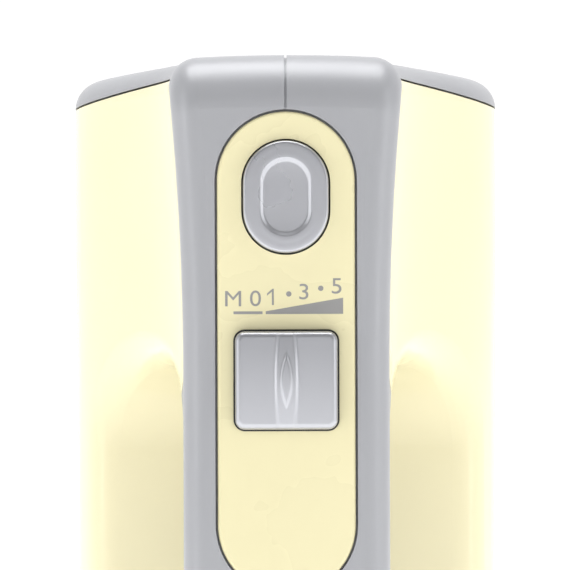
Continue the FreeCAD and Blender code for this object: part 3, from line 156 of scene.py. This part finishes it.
def fill(shader, values):
    """Sets the shader's inputs by name."""
    for name, value in values.items():
        shader.inputs[name].default_value = value


def mesh_from_grid(name, grid, closed=True):
    """Mesh over grid[i, j]: one quad between each point and its next along i and j; closed joins
    the last column to the first."""
    rows, columns = grid.shape[:2]
    i, j = np.meshgrid(np.arange(rows - 1), np.arange(columns if closed else columns - 1), indexing="ij")
    here, below = i * columns, (i + 1) * columns
    right = (j + 1) % columns
    quads = np.stack([here + j, below + j, below + right, here + right], -1)
    mesh = bpy.data.meshes.new(name)
    mesh.from_pydata(grid.reshape(-1, 3).tolist(), [], quads.reshape(-1, 4).tolist())
    return mesh


MERGE = 1e-6                 # points nearer than this are one


def close_up(mesh):
    """Merges the points that meet at poles and seams, turns the faces outwards, shades smooth."""
    work = bmesh.new()
    work.from_mesh(mesh)
    bmesh.ops.remove_doubles(work, verts=work.verts, dist=MERGE)
    bmesh.ops.dissolve_degenerate(work, edges=work.edges, dist=MERGE)
    bmesh.ops.recalc_face_normals(work, faces=work.faces)
    work.to_mesh(mesh)
    work.free()
    mesh.polygons.foreach_set("use_smooth", np.ones(len(mesh.polygons), bool))
    return mesh


def piece(mesh, finish):
    """Object of the mesh at the origin, with one material, in the scene."""
    made = bpy.data.objects.new(mesh.name, mesh)
    mesh.materials.append(finish)
    scene.collection.objects.link(made)
    return made


# Floor: a round sheet, rings of points at growing radii, each at radius times (cos, sin). It
# glows brighter to the camera and in reflections than it lights the mixer.
FLOOR_LIGHT, FLOOR_SEEN = 0.4, 0.9
turn = np.linspace(0, 2 * np.pi, 65)[:-1]
rings = np.array([0.0, 0.5, 1.5, 4.0, 12.0, 40.0])[:, None]
floor_grid = np.stack([rings * np.cos(turn), rings * np.sin(turn), 0 * rings * turn], -1)
paper, tree, shader = material("matt_white_paper")
fill(shader, {"Base Color": linear("#F4F4F4"), "Roughness": 0.9, "Specular IOR Level": 0.1,
              "Emission Color": linear("#FFFFFF")})
rays = add(tree, "ShaderNodeLightPath")
seen = add(tree, "ShaderNodeMath", {"operation": "MAXIMUM"}, {
    0: rays.outputs["Is Camera Ray"], 1: rays.outputs["Is Glossy Ray"]})
glow = add(tree, "ShaderNodeMapRange", inputs={
    "Value": seen.outputs["Value"], "To Min": FLOOR_LIGHT, "To Max": FLOOR_SEEN})
tree.links.new(glow.outputs["Result"], shader.inputs["Emission Strength"])
floor = piece(close_up(mesh_from_grid("floor", floor_grid)), paper)


# ---------------------------------------------------------------------------------------
# Housing. Two halves moulded in silver-grey ABS with a fine spark-eroded texture, screwed
# together; the seam down the middle and the vents are moulded in.
# ---------------------------------------------------------------------------------------
def finish_nodes(made, *names):
    """Gives CAD pieces their one material."""
    for name in names:
        data = nodes[name].data
        data.materials.clear()
        data.materials.append(made)


def noise_bump(tree, shader, grain_mm, depth_mm, strength=1.0, stretch=(1, 1, 1)):
    """Moulded or ground texture: noise whose cells are grain_mm wide, as a bump of depth_mm."""
    place = add(tree, "ShaderNodeTexCoord")
    drawn = add(tree, "ShaderNodeMapping", inputs={"Vector": place.outputs["Object"], "Scale": stretch})
    noise = add(tree, "ShaderNodeTexNoise", inputs={
        "Vector": drawn.outputs["Vector"], "Scale": 1.0 / (grain_mm * MM), "Detail": 2.0, "Roughness": 0.6})
    bump = add(tree, "ShaderNodeBump", inputs={
        "Height": noise.outputs["Fac"], "Distance": depth_mm * MM, "Strength": strength})
    tree.links.new(bump.outputs["Normal"], shader.inputs["Normal"])


def varied(tree, shader, light, dark, cell_mm):
    """Colour that drifts softly between two close tones over cell_mm."""
    place = add(tree, "ShaderNodeTexCoord")
    noise = add(tree, "ShaderNodeTexNoise", inputs={
        "Vector": place.outputs["Object"], "Scale": 1.0 / (cell_mm * MM), "Detail": 1.0})
    mix = add(tree, "ShaderNodeMix", {"data_type": "RGBA"}, {
        "Factor": noise.outputs["Fac"], 6: linear(light), 7: linear(dark)})
    tree.links.new(mix.outputs[2], shader.inputs["Base Color"])


def worn(tree, shader, low, high, cell_mm):
    """Roughness that wanders from low to high over cell_mm, as handling polishes a surface."""
    place = add(tree, "ShaderNodeTexCoord")
    noise = add(tree, "ShaderNodeTexNoise", inputs={
        "Vector": place.outputs["Object"], "Scale": 1.0 / (cell_mm * MM), "Detail": 3.0})
    spread = add(tree, "ShaderNodeMapRange", inputs={
        "Value": noise.outputs["Fac"], "From Min": 0.3, "From Max": 0.7, "To Min": low, "To Max": high})
    tree.links.new(spread.outputs["Result"], shader.inputs["Roughness"])


grey_abs, tree, shader = material("spark_eroded_grey_abs")
fill(shader, {"IOR": 1.53, "Metallic": 0.12})
varied(tree, shader, "#A9AAAE", "#A5A6AA", 40.0)
worn(tree, shader, 0.34, 0.42, 18.0)
noise_bump(tree, shader, 0.35, 0.012)
finish_nodes(grey_abs, "housing_left", "housing_right", "socket_ring_left", "socket_ring_right")


# ---------------------------------------------------------------------------------------
# Side covers and control panel. Vanilla ABS, glossy on the covers and satin on the panel,
# clipped over the housing; a faint waviness of the moulding softens the reflections.
# ---------------------------------------------------------------------------------------
vanilla_abs, tree, shader = material("polished_vanilla_abs")
fill(shader, {"IOR": 1.53, "Specular IOR Level": 0.3})
varied(tree, shader, "#F6EEC8", "#F4ECC4", 60.0)
worn(tree, shader, 0.12, 0.18, 25.0)
noise_bump(tree, shader, 14.0, 0.02, 0.4)
finish_nodes(vanilla_abs, "side_cover_left", "side_cover_right")
panel_abs, tree, shader = material("satin_vanilla_abs")
fill(shader, {"IOR": 1.53})
varied(tree, shader, "#EEE6BB", "#ECE4B8", 60.0)
worn(tree, shader, 0.24, 0.32, 15.0)
noise_bump(tree, shader, 8.0, 0.02, 0.4)
finish_nodes(panel_abs, "control_panel")


# ---------------------------------------------------------------------------------------
# Scale beside the speed switch. Pad-printed in grey ink on the panel: M for momentary, 0 for
# off, then the speeds, with a bar under the first two and a wedge that grows with the speed.
# ---------------------------------------------------------------------------------------
carrier_low, carrier_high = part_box("switch_slider")
switch_z = (carrier_low.z + carrier_high.z) / 2
INK = 0.03 * MM              # the ink stands this far off the panel
STROKE = 0.36 * MM           # line width of a figure
FIGURE_STRETCH = 1.12        # the figures are this much wider than the typeface's
SCALE_RISE = 12.3 * MM       # foot of the wedge above the middle of the switch
WEDGE = (-3.8 * MM, 10.6 * MM)
WEDGE_THIN, WEDGE_THICK = 0.52 * MM, 3.0 * MM
BAR = (-9.8 * MM, -4.4 * MM)
FIGURE = 3.05 * MM           # height of a figure
FIGURE_GAP = 0.95 * MM       # between the wedge and the figures above it
CAPITALS = 0.73              # the typeface's capitals are this share of its size
FIGURES = (("M", -9.85 * MM), ("0", -5.7 * MM), ("3", 3.3 * MM), ("5", 9.4 * MM))
ONE_X = -2.65 * MM           # left side of the stem of the figure 1
ONE_FLAG = 0.9 * MM
DOTS = (0.5 * MM, 6.45 * MM)
DOT_RADIUS = 0.5 * MM
scale_z = switch_z + SCALE_RISE


def wedge_top(x):
    """Upper edge of the wedge: thin at its start, rising in a straight line to its end."""
    share = max(0.0, (x - WEDGE[0]) / (WEDGE[1] - WEDGE[0]))
    return scale_z + WEDGE_THIN + share * (WEDGE_THICK - WEDGE_THIN)


def prism(name, outline):
    """Flat outline of (x, z) points carried from under the panel's face to the ink's height."""
    ring = np.array(outline)
    back, front = FACE_Y + INK, FACE_Y - INK
    sides = np.stack([np.insert(ring, 1, y, axis=1) for y in (back, front)])
    mesh = mesh_from_grid(name, sides)
    work = bmesh.new()
    work.from_mesh(mesh)
    work.verts.ensure_lookup_table()
    work.faces.new(work.verts[:len(ring)])
    work.faces.new(work.verts[len(ring):])
    bmesh.ops.recalc_face_normals(work, faces=work.faces)
    work.to_mesh(mesh)
    work.free()
    return mesh


def figure(text, x, foot):
    """One figure of the scale, centred at x with its foot at the given height."""
    curve = bpy.data.curves.new("figure", "FONT")
    curve.body = text
    curve.size = FIGURE / CAPITALS
    curve.extrude = INK
    curve.resolution_u = 6
    shape = bpy.data.objects.new("figure", curve)
    mesh = bpy.data.meshes.new_from_object(shape)
    mesh.transform(Matrix.Rotation(math.pi / 2, 4, "X") @ Matrix.Diagonal((FIGURE_STRETCH, 1, 1, 1)))
    corners = np.array([v.co for v in mesh.vertices])
    low, high = corners.min(0), corners.max(0)
    mesh.transform(Matrix.Translation((x - (low[0] + high[0]) / 2, FACE_Y, foot - low[2])))
    bpy.data.objects.remove(shape)
    return mesh


def one(x, foot):
    """Outline of the figure 1: a stem with a flag that slopes down from its top."""
    right, top, tip = x + STROKE, foot + FIGURE, x - ONE_FLAG
    return [(x, foot), (right, foot), (right, top), (x + STROKE / 3, top), (tip, top - ONE_FLAG),
            (tip, top - ONE_FLAG - STROKE * 1.1), (x, top - ONE_FLAG * 0.62)]


ink, tree, shader = material("grey_pad_print")
fill(shader, {"Roughness": 0.45, "IOR": 1.5})
varied(tree, shader, "#9A9998", "#949392", 3.0)
noise_bump(tree, shader, 0.2, 0.004)

marks = [figure(text, x, wedge_top(x) + FIGURE_GAP) for text, x in FIGURES]
marks.append(prism("one", one(ONE_X, wedge_top(ONE_X) + FIGURE_GAP)))
turn = np.linspace(0, 2 * np.pi, 25)[:-1]
for x in DOTS:
    middle = wedge_top(x) + FIGURE_GAP + FIGURE / 2
    circle = np.stack([x + DOT_RADIUS * np.cos(turn), middle + DOT_RADIUS * np.sin(turn)], -1)
    marks.append(prism("dot", circle))
bar_top = scale_z + WEDGE_THIN
marks.append(prism("bar", [(BAR[0], scale_z), (BAR[1], scale_z), (BAR[1], bar_top), (BAR[0], bar_top)]))
marks.append(prism("wedge", [(WEDGE[0], scale_z), (WEDGE[1], scale_z), (WEDGE[1], wedge_top(WEDGE[1])),
                             (WEDGE[0], wedge_top(WEDGE[0]))]))
work = bmesh.new()
for mark in marks:
    work.from_mesh(mark)
scale_mesh = bpy.data.meshes.new("scale_print")
work.to_mesh(scale_mesh)
work.free()
scale = piece(scale_mesh, ink)
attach(scale, "housing")


# ---------------------------------------------------------------------------------------
# Eject button. An oval button in silver-lacquered ABS with a shallow finger dish, a flange
# that keeps it under the panel, and a socket below for the ejector rod.
# ---------------------------------------------------------------------------------------
def rounded(inset, y, radius, start, end):
    """Arc of profile points about (inset, y), angles in degrees from the inset axis towards +Y."""
    turn = np.radians(np.linspace(start, end, 7))
    return [(inset + radius * math.cos(a), y + radius * math.sin(a)) for a in turn]


def oval_sweep(profile, half_width, half_length, centre_z):
    """Surface round an oval: end centre + (half width - inset) * (cos t, sin t), at each profile Y."""
    inset, y = np.array(profile).T * MM
    steps = 40
    upper = np.linspace(0, np.pi, steps)
    turn = np.concatenate([upper, upper + np.pi])
    shift = np.where(np.arange(2 * steps) < steps, 1, -1) * (half_length - half_width)
    reach = (half_width - inset)[:, None]
    return np.stack([reach * np.cos(turn), np.broadcast_to(y[:, None], (len(y), 2 * steps)),
                     centre_z + shift + reach * np.sin(turn)], -1)


button_low, button_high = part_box("eject_button")
rod_low, rod_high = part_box("ejector_rod")
BUTTON_FLANGE = 1.1          # sizes from here to the profile are in millimetres
BUTTON_WALL = 1.5            # thickness of the button's skirt
BUTTON_TOP = 3.0             # and of its top
BOSS = 5.0                   # half width of the boss that takes the rod
BOSS_DEPTH = 3.0             # the boss ends this far beyond the flange
button_half_width = (button_high.x - button_low.x) / 2 - BUTTON_FLANGE * MM
button_half_length = (button_high.z - button_low.z) / 2 - BUTTON_FLANGE * MM
button_z = (button_low.z + button_high.z) / 2
top = button_low.y / MM
foot = rod_low.y / MM
DISH = 3.0                   # rim of the dish, in from the button's side
DISH_DEPTH = 0.48            # where its wall ends; the floor sinks a little more to the middle
WALL_ANGLE = 35.0            # the dish's wall leans this far from the button's face
half = button_half_width / MM
EDGE, LIP, HEEL = 0.6, 0.5, 0.6      # roundings: outer edge, dish rim, foot of the dish's wall
profile = [(half, top + DISH_DEPTH + 0.04), (half - 2.0, top + DISH_DEPTH + 0.035),
           (DISH + 2.0, top + DISH_DEPTH + 0.02)]
profile += rounded(DISH + 1.03, top + DISH_DEPTH - HEEL, HEEL, 88, 90 + WALL_ANGLE)
profile += rounded(DISH, top + LIP, LIP, WALL_ANGLE - 90, -90)
profile += [(DISH - 0.9, top), (EDGE + 0.8, top + 0.03)]
profile += rounded(EDGE, top + EDGE, EDGE, -90, -180)
profile += [(0.0, foot - 0.05), (0.0, foot), (-BUTTON_FLANGE, foot), (-BUTTON_FLANGE, foot + BUTTON_FLANGE),
            (BUTTON_WALL, foot + BUTTON_FLANGE), (BUTTON_WALL, top + BUTTON_TOP),
            (half - BOSS, top + BUTTON_TOP), (half - BOSS, foot + BUTTON_FLANGE + BOSS_DEPTH),
            (half, foot + BUTTON_FLANGE + BOSS_DEPTH)]

silver_lacquer, tree, shader = material("silver_lacquered_abs")
# Aluminium flakes in a clear lacquer: half metal to the eye, with soft bright edges.
fill(shader, {"Metallic": 0.6, "IOR": 1.5})
varied(tree, shader, "#B5B6BB", "#B2B3B8", 30.0)
worn(tree, shader, 0.27, 0.3, 12.0)

button_grid = oval_sweep(profile, button_half_width, button_half_length, button_z)
button = piece(close_up(mesh_from_grid("eject_button_moulding", button_grid)), silver_lacquer)
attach(button, "ejector")
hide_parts("eject_button")


# ---------------------------------------------------------------------------------------
# Speed switch cap. A pillow-shaped slide in the same silver lacquer, with a finger ridge
# down its middle that carries a narrow lens-shaped crest. It is pressed onto its black carrier.
# ---------------------------------------------------------------------------------------
cap_low, cap_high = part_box("switch_cap")
CAP_CORNER = 1.8 * MM
CAP_EDGE = 1.15 * MM         # rounding between the top and the sides
PILLOW = 3.1 * MM            # height from the underside to the pillow's middle
CAP_CROWN = 260.0 * MM       # the top is part of a sphere this big
RIDGE_FOOT = 2.5 * MM        # half width of the ridge where it leaves the pillow
RIDGE_BARREL = 0.5 * MM      # and how much narrower it is at the ends
RIDGE_HEIGHT = 0.5 * MM
RIDGE_ENDS = 0.6             # share of that height which is left at its ends
RIDGE_FLANK = 1.05 * MM      # width of the slope up to the ridge
LENS_HALF = 1.3 * MM         # the crest stands on the ridge, pointed at both ends
LENS_LENGTH = 5.5 * MM       # half its length
LENS_HEIGHT = 0.3 * MM
LENS_FLANK = 0.65 * MM
half_x, half_z = (cap_high.x - cap_low.x) / 2, (cap_high.z - cap_low.z) / 2
cap_x, cap_z = (cap_high.x + cap_low.x) / 2, (cap_high.z + cap_low.z) / 2
cap_base = cap_high.y
pillow_top = cap_base - PILLOW


def smooth_step(t):
    """0 below 0, 1 above 1, and 3t^2 - 2t^3 between."""
    t = np.clip(t, 0, 1)
    return t * t * (3 - 2 * t)


def spread(count):
    """From -1 to 1, closer together towards both ends: 0.4 * t + 0.6 * sin(pi t / 2)."""
    even = np.linspace(-1, 1, count)
    return 0.4 * even + 0.6 * np.sin(even * np.pi / 2)


def cap_surface():
    """Pillow: x = u * W(z) with rounded corners; Y falls by a quarter round at the edge and by
    (x^2 + z^2) / 2R over the crown, and rises by smooth steps in |x| over the ridge and its crest."""
    z = half_z * spread(161)[:, None]
    into_corner = np.clip(np.abs(z) - (half_z - CAP_CORNER), 0, CAP_CORNER)
    x = (half_x - CAP_CORNER + np.sqrt(CAP_CORNER ** 2 - into_corner ** 2)) * spread(181)[None, :]
    z = np.broadcast_to(z, x.shape)
    qx, qz = np.abs(x) - (half_x - CAP_CORNER), np.abs(z) - (half_z - CAP_CORNER)
    inside = CAP_CORNER - np.hypot(np.maximum(qx, 0), np.maximum(qz, 0)) - np.minimum(np.maximum(qx, qz), 0)
    inside = np.clip(inside, 0, CAP_EDGE)
    drop = CAP_EDGE - np.sqrt(CAP_EDGE ** 2 - (CAP_EDGE - inside) ** 2)
    along = np.clip(1 - (z / half_z) ** 2, 0, 1)
    ridge_half = RIDGE_FOOT - RIDGE_BARREL * (1 - along)
    ridge_height = RIDGE_HEIGHT * (RIDGE_ENDS + (1 - RIDGE_ENDS) * along)
    ridge = ridge_height * smooth_step((ridge_half - np.abs(x)) / RIDGE_FLANK)
    lens_half = LENS_HALF * (1 - (z / LENS_LENGTH) ** 2)
    lens = LENS_HEIGHT * smooth_step((lens_half - np.abs(x)) / LENS_FLANK)
    y = pillow_top + drop + (x ** 2 + z ** 2) / (2 * CAP_CROWN) - ridge - lens
    return np.stack([cap_x + x, y, cap_z + z], -1)


def cap_mesh():
    """The pillow surface with straight walls down to its flat underside."""
    grid = cap_surface()
    rows, columns = grid.shape[:2]
    mesh = mesh_from_grid("switch_cap_moulding", grid, closed=False)
    number = np.arange(rows * columns).reshape(rows, columns)
    border = np.concatenate([number[0, :-1], number[:-1, -1], number[-1, :0:-1], number[:0:-1, 0]])
    work = bmesh.new()
    work.from_mesh(mesh)
    work.verts.ensure_lookup_table()
    rim = [work.verts[k] for k in border]
    under = [work.verts.new((v.co.x, cap_base, v.co.z)) for v in rim]
    for a, b, c, d in zip(rim, rim[1:] + rim[:1], under[1:] + under[:1], under):
        work.faces.new((a, b, c, d))
    work.faces.new(under)
    work.to_mesh(mesh)
    work.free()
    return close_up(mesh)


cap = piece(cap_mesh(), silver_lacquer)
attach(cap, "speed_switch")
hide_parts("switch_cap")


# ---------------------------------------------------------------------------------------
# Black mouldings: the switch's carrier, the brush plate and the beaters' collars, in black
# nylon straight from the mould, with a soft sheen.
# ---------------------------------------------------------------------------------------
black_nylon, tree, shader = material("moulded_black_nylon")
fill(shader, {"IOR": 1.53})
varied(tree, shader, "#1C1C1E", "#161617", 10.0)
worn(tree, shader, 0.36, 0.5, 5.0)
noise_bump(tree, shader, 0.4, 0.01)
finish_nodes(black_nylon, "switch_slider", "brush_plate", "beater_collar_left", "beater_collar_right")


# ---------------------------------------------------------------------------------------
# Natural acetal: ejector rod and yoke, worm wheels and the cooling fan. Milky white, slightly
# translucent at thin edges, and slippery, so the highlights are broad and soft.
# ---------------------------------------------------------------------------------------
acetal, tree, shader = material("natural_acetal")
fill(shader, {"IOR": 1.48, "Subsurface Weight": 0.15, "Subsurface Scale": 1.0 * MM})
varied(tree, shader, "#ECEAE2", "#E5E2D8", 12.0)
worn(tree, shader, 0.3, 0.42, 4.0)
noise_bump(tree, shader, 0.6, 0.01)
finish_nodes(acetal, "ejector_rod", "ejector_plate", "worm_wheel_left", "worm_wheel_right", "cooling_fan")


# ---------------------------------------------------------------------------------------
# Motor frame and gearbox plates. Dark glass-filled nylon: the short fibres leave a dull
# surface with faint lighter flecks along the flow.
# ---------------------------------------------------------------------------------------
filled_nylon, tree, shader = material("glass_filled_nylon")
fill(shader, {"IOR": 1.53, "Roughness": 0.55})
varied(tree, shader, "#4A4C50", "#3A3C40", 1.2)
noise_bump(tree, shader, 0.25, 0.02, 1.0, (1, 1, 0.25))
finish_nodes(filled_nylon, "motor_frame", "gearbox_base", "gearbox_cover")


# ---------------------------------------------------------------------------------------
# Rubber: the heel pad that the mixer stands on and the sleeve round the cord inlet. Moulded
# black rubber, dull, with a little bloom where it is handled.
# ---------------------------------------------------------------------------------------
rubber, tree, shader = material("moulded_black_rubber")
fill(shader, {"IOR": 1.52, "Specular IOR Level": 0.35})
varied(tree, shader, "#2A2A2B", "#202021", 5.0)
worn(tree, shader, 0.62, 0.78, 7.0)
noise_bump(tree, shader, 0.5, 0.03)
finish_nodes(rubber, "heel_pad", "cord_inlet")


# ---------------------------------------------------------------------------------------
# Screws. Zinc-plated steel, barrel-plated, so the blue-white finish is uneven and the heads
# are lightly marked by the driver.
# ---------------------------------------------------------------------------------------
zinc, tree, shader = material("zinc_plated_steel")
fill(shader, {"Metallic": 1.0})
varied(tree, shader, "#CDD1D4", "#B9BEC3", 2.0)
worn(tree, shader, 0.25, 0.42, 1.5)
noise_bump(tree, shader, 0.4, 0.01)
finish_nodes(zinc, "housing_screws", "motor_screws", "gearbox_screws")


# ---------------------------------------------------------------------------------------
# Springs. The eject spring round the rod and the two brush springs: wound from round steel
# wire with close end turns.
# ---------------------------------------------------------------------------------------
END_RISE = 1.1               # a coil's wire starts this many wire radii in from its end
POINTS_PER_TURN = 28


def coil_grid(start, axis, length, radius, wire, turns):
    """Wire of a compression spring: centre = start + rise * axis + radius * (cos t, sin t), where
    the rise eases in and out so that the end turns lie flat; a small circle is carried along it."""
    start, axis = np.array(start), np.array(axis, float)
    side = np.cross(axis, (0.0, 0.0, 1.0) if abs(axis[2]) < 0.5 else (1.0, 0.0, 0.0))
    other = np.cross(axis, side)
    share = np.linspace(0, 1, int(turns * POINTS_PER_TURN))
    turn = 2 * np.pi * turns * share
    slow = 1.0 / turns
    eased = np.where(share < slow, share ** 2 / (2 * slow), np.where(
        share > 1 - slow, 1 - slow - (1 - share) ** 2 / (2 * slow), share - slow / 2)) / (1 - slow)
    rise = wire * END_RISE + (length - 2 * END_RISE * wire) * eased
    out = np.cos(turn)[:, None] * side + np.sin(turn)[:, None] * other
    centre = start + rise[:, None] * axis + radius * out
    thickness = np.concatenate([[0.0], np.full(len(share) - 2, wire), [0.0]])[:, None, None]
    ring = np.linspace(0, 2 * np.pi, 13)[:-1]
    return centre[:, None] + thickness * (np.cos(ring)[:, None] * out[:, None] + np.sin(ring)[:, None] * axis)


spring_steel, tree, shader = material("drawn_spring_steel")
fill(shader, {"Metallic": 1.0})
varied(tree, shader, "#A9ABAE", "#8F9296", 3.0)
worn(tree, shader, 0.28, 0.4, 2.0)
noise_bump(tree, shader, 0.3, 0.006)

EJECT_WIRE = 0.45 * MM       # radii of the wires
BRUSH_WIRE = 0.3 * MM
EJECT_TURNS, BRUSH_TURNS = 8, 5
BRUSH_LENGTH = 6.4 * MM
BRUSH_RADIUS = 1.7 * MM
low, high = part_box("eject_spring")
middle, length = (low + high) / 2, high.y - low.y
eject_grid = coil_grid((middle.x, low.y, middle.z), (0, 1, 0), length, (high.x - low.x) / 2 - EJECT_WIRE,
                       EJECT_WIRE, EJECT_TURNS)
eject_coil = piece(close_up(mesh_from_grid("eject_spring_coil", eject_grid)), spring_steel)
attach(eject_coil, "housing")
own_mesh(eject_coil)
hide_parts("eject_spring")

low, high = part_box("brush_springs")
middle = (low + high) / 2
work = bmesh.new()
for side, start_x in ((1, high.x - BRUSH_LENGTH), (-1, low.x + BRUSH_LENGTH)):
    grid = coil_grid((start_x, middle.y, middle.z), (side, 0, 0), BRUSH_LENGTH, BRUSH_RADIUS,
                     BRUSH_WIRE, BRUSH_TURNS)
    work.from_mesh(mesh_from_grid("one_brush_spring", grid))
brush_mesh = bpy.data.meshes.new("brush_spring_coils")
work.to_mesh(brush_mesh)
work.free()
brush_coils = piece(close_up(brush_mesh), spring_steel)
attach(brush_coils, "housing")
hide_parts("brush_springs")


# ---------------------------------------------------------------------------------------
# Turned and ground steel: motor shaft, worm and the two spindles. Fine rings from the
# grinding wheel run round them.
# ---------------------------------------------------------------------------------------
WAVE = 0.314                 # a band texture of scale 1 repeats after this length


def rings_bump(tree, shader, pitch_mm, depth_mm, direction):
    """Fine tool marks: straight bands across an axis, pitch_mm apart, shaken by a little noise."""
    place = add(tree, "ShaderNodeTexCoord")
    bands = add(tree, "ShaderNodeTexWave", {"wave_type": "BANDS", "bands_direction": direction}, {
        "Vector": place.outputs["Object"], "Scale": WAVE / (pitch_mm * MM), "Distortion": 0.6,
        "Detail": 1.0, "Detail Scale": 2.0})
    bump = add(tree, "ShaderNodeBump", inputs={
        "Height": bands.outputs["Fac"], "Distance": depth_mm * MM, "Strength": 0.8})
    tree.links.new(bump.outputs["Normal"], shader.inputs["Normal"])
    return bands


for name, direction, members in (("ground_steel_shaft", "Z", ("motor_shaft", "worm")),
                                 ("ground_steel_spindle", "Y", ("spindle_left", "spindle_right"))):
    ground, tree, shader = material(name)
    fill(shader, {"Metallic": 1.0})
    varied(tree, shader, "#B4B6B9", "#A4A6AA", 6.0)
    worn(tree, shader, 0.2, 0.32, 4.0)
    rings_bump(tree, shader, 0.4, 0.004, direction)
    finish_nodes(ground, *members)


# ---------------------------------------------------------------------------------------
# Stator and rotor core. Stacks of silicon-steel sheets half a millimetre thick, blue-grey
# from annealing; each sheet's edge shows as a fine line round the stack.
# ---------------------------------------------------------------------------------------
laminated, tree, shader = material("stacked_silicon_steel")
fill(shader, {"Metallic": 0.9, "Roughness": 0.45})
bands = rings_bump(tree, shader, 0.5, 0.04, "Z")
sheets = add(tree, "ShaderNodeMix", {"data_type": "RGBA"}, {
    "Factor": bands.outputs["Fac"], 6: linear("#4F545B"), 7: linear("#7B8087")})
tree.links.new(sheets.outputs[2], shader.inputs["Base Color"])
finish_nodes(laminated, "motor_stator", "rotor_core")


# ---------------------------------------------------------------------------------------
# Field coils and rotor windings. Enamelled copper wire wound along the motor: parallel
# strands under a clear amber varnish.
# ---------------------------------------------------------------------------------------
windings, tree, shader = material("varnished_copper_wire")
fill(shader, {"Metallic": 0.7, "Roughness": 0.3, "Coat Weight": 0.7, "Coat Roughness": 0.15})
bands = rings_bump(tree, shader, 0.5, 0.15, "X")
# The colour follows the bump's bands: dark brown in the grooves between the strands, where shade falls, and
# bright copper on their crests. The dark grooves are painted shade.
strands_with_painted_groove_shade = add(tree, "ShaderNodeMix", {"data_type": "RGBA"}, {
    "Factor": bands.outputs["Fac"], 6: linear("#5E2A12"), 7: linear("#B8622F")})
tree.links.new(strands_with_painted_groove_shade.outputs[2], shader.inputs["Base Color"])
finish_nodes(windings, "field_coils", "rotor_windings")


# ---------------------------------------------------------------------------------------
# Commutator and switch wiper in bare copper alloy, bushes in sintered bronze that holds oil,
# brush holders in pressed brass. Each keeps the metal's own colour, a little tarnished.
# ---------------------------------------------------------------------------------------
for name, light, dark, low, high, grain, members in (
        ("turned_copper", "#C9764A", "#A95E38", 0.25, 0.4, 0.3, ("commutator", "switch_wiper")),
        ("oiled_sintered_bronze", "#A5804A", "#86643A", 0.4, 0.55, 0.25,
         ("rear_bush", "middle_bush", "front_bush", "spindle_bushes")),
        ("pressed_brass", "#C9A850", "#B08E3C", 0.22, 0.38, 0.5, ("brush_holders",))):
    alloy, tree, shader = material(name)
    fill(shader, {"Metallic": 1.0})
    varied(tree, shader, light, dark, 3.0)
    worn(tree, shader, low, high, 2.0)
    noise_bump(tree, shader, grain, 0.012)
    finish_nodes(alloy, *members)


# ---------------------------------------------------------------------------------------
# Carbon brushes. Pressed graphite: near black, grainy, with a dull metallic gleam.
# ---------------------------------------------------------------------------------------
graphite, tree, shader = material("pressed_graphite")
fill(shader, {"Metallic": 0.3})
varied(tree, shader, "#2B2B2D", "#1E1E20", 0.5)
worn(tree, shader, 0.4, 0.6, 1.0)
noise_bump(tree, shader, 0.2, 0.02)
finish_nodes(graphite, "carbon_brushes")


# ---------------------------------------------------------------------------------------
# Control board and what is soldered to it. Brown paper-phenolic board with its fibre showing,
# and parts cast in dark epoxy.
# ---------------------------------------------------------------------------------------
board, tree, shader = material("paper_phenolic_board")
fill(shader, {"IOR": 1.55, "Roughness": 0.4})
varied(tree, shader, "#A9713A", "#8E5A2B", 0.8)
noise_bump(tree, shader, 0.3, 0.01)
finish_nodes(board, "control_board")
epoxy, tree, shader = material("cast_epoxy")
fill(shader, {"IOR": 1.55})
varied(tree, shader, "#26282C", "#1D1F22", 2.0)
worn(tree, shader, 0.3, 0.45, 1.5)
noise_bump(tree, shader, 0.3, 0.01)
finish_nodes(epoxy, "board_components")


# ---------------------------------------------------------------------------------------
# Beaters. Steel shafts and bent wires, polished and chromium-plated; the plate is mirror
# bright, slightly blue, and just uneven enough to soften reflections.
# ---------------------------------------------------------------------------------------
chrome, tree, shader = material("polished_chromium_plate")
fill(shader, {"Metallic": 1.0})
varied(tree, shader, "#DCDFE2", "#D2D6DA", 10.0)
worn(tree, shader, 0.08, 0.16, 8.0)
noise_bump(tree, shader, 3.0, 0.01, 0.5)
finish_nodes(chrome, "beater_shaft_left", "beater_shaft_right", "beater_wires_left", "beater_wires_right")
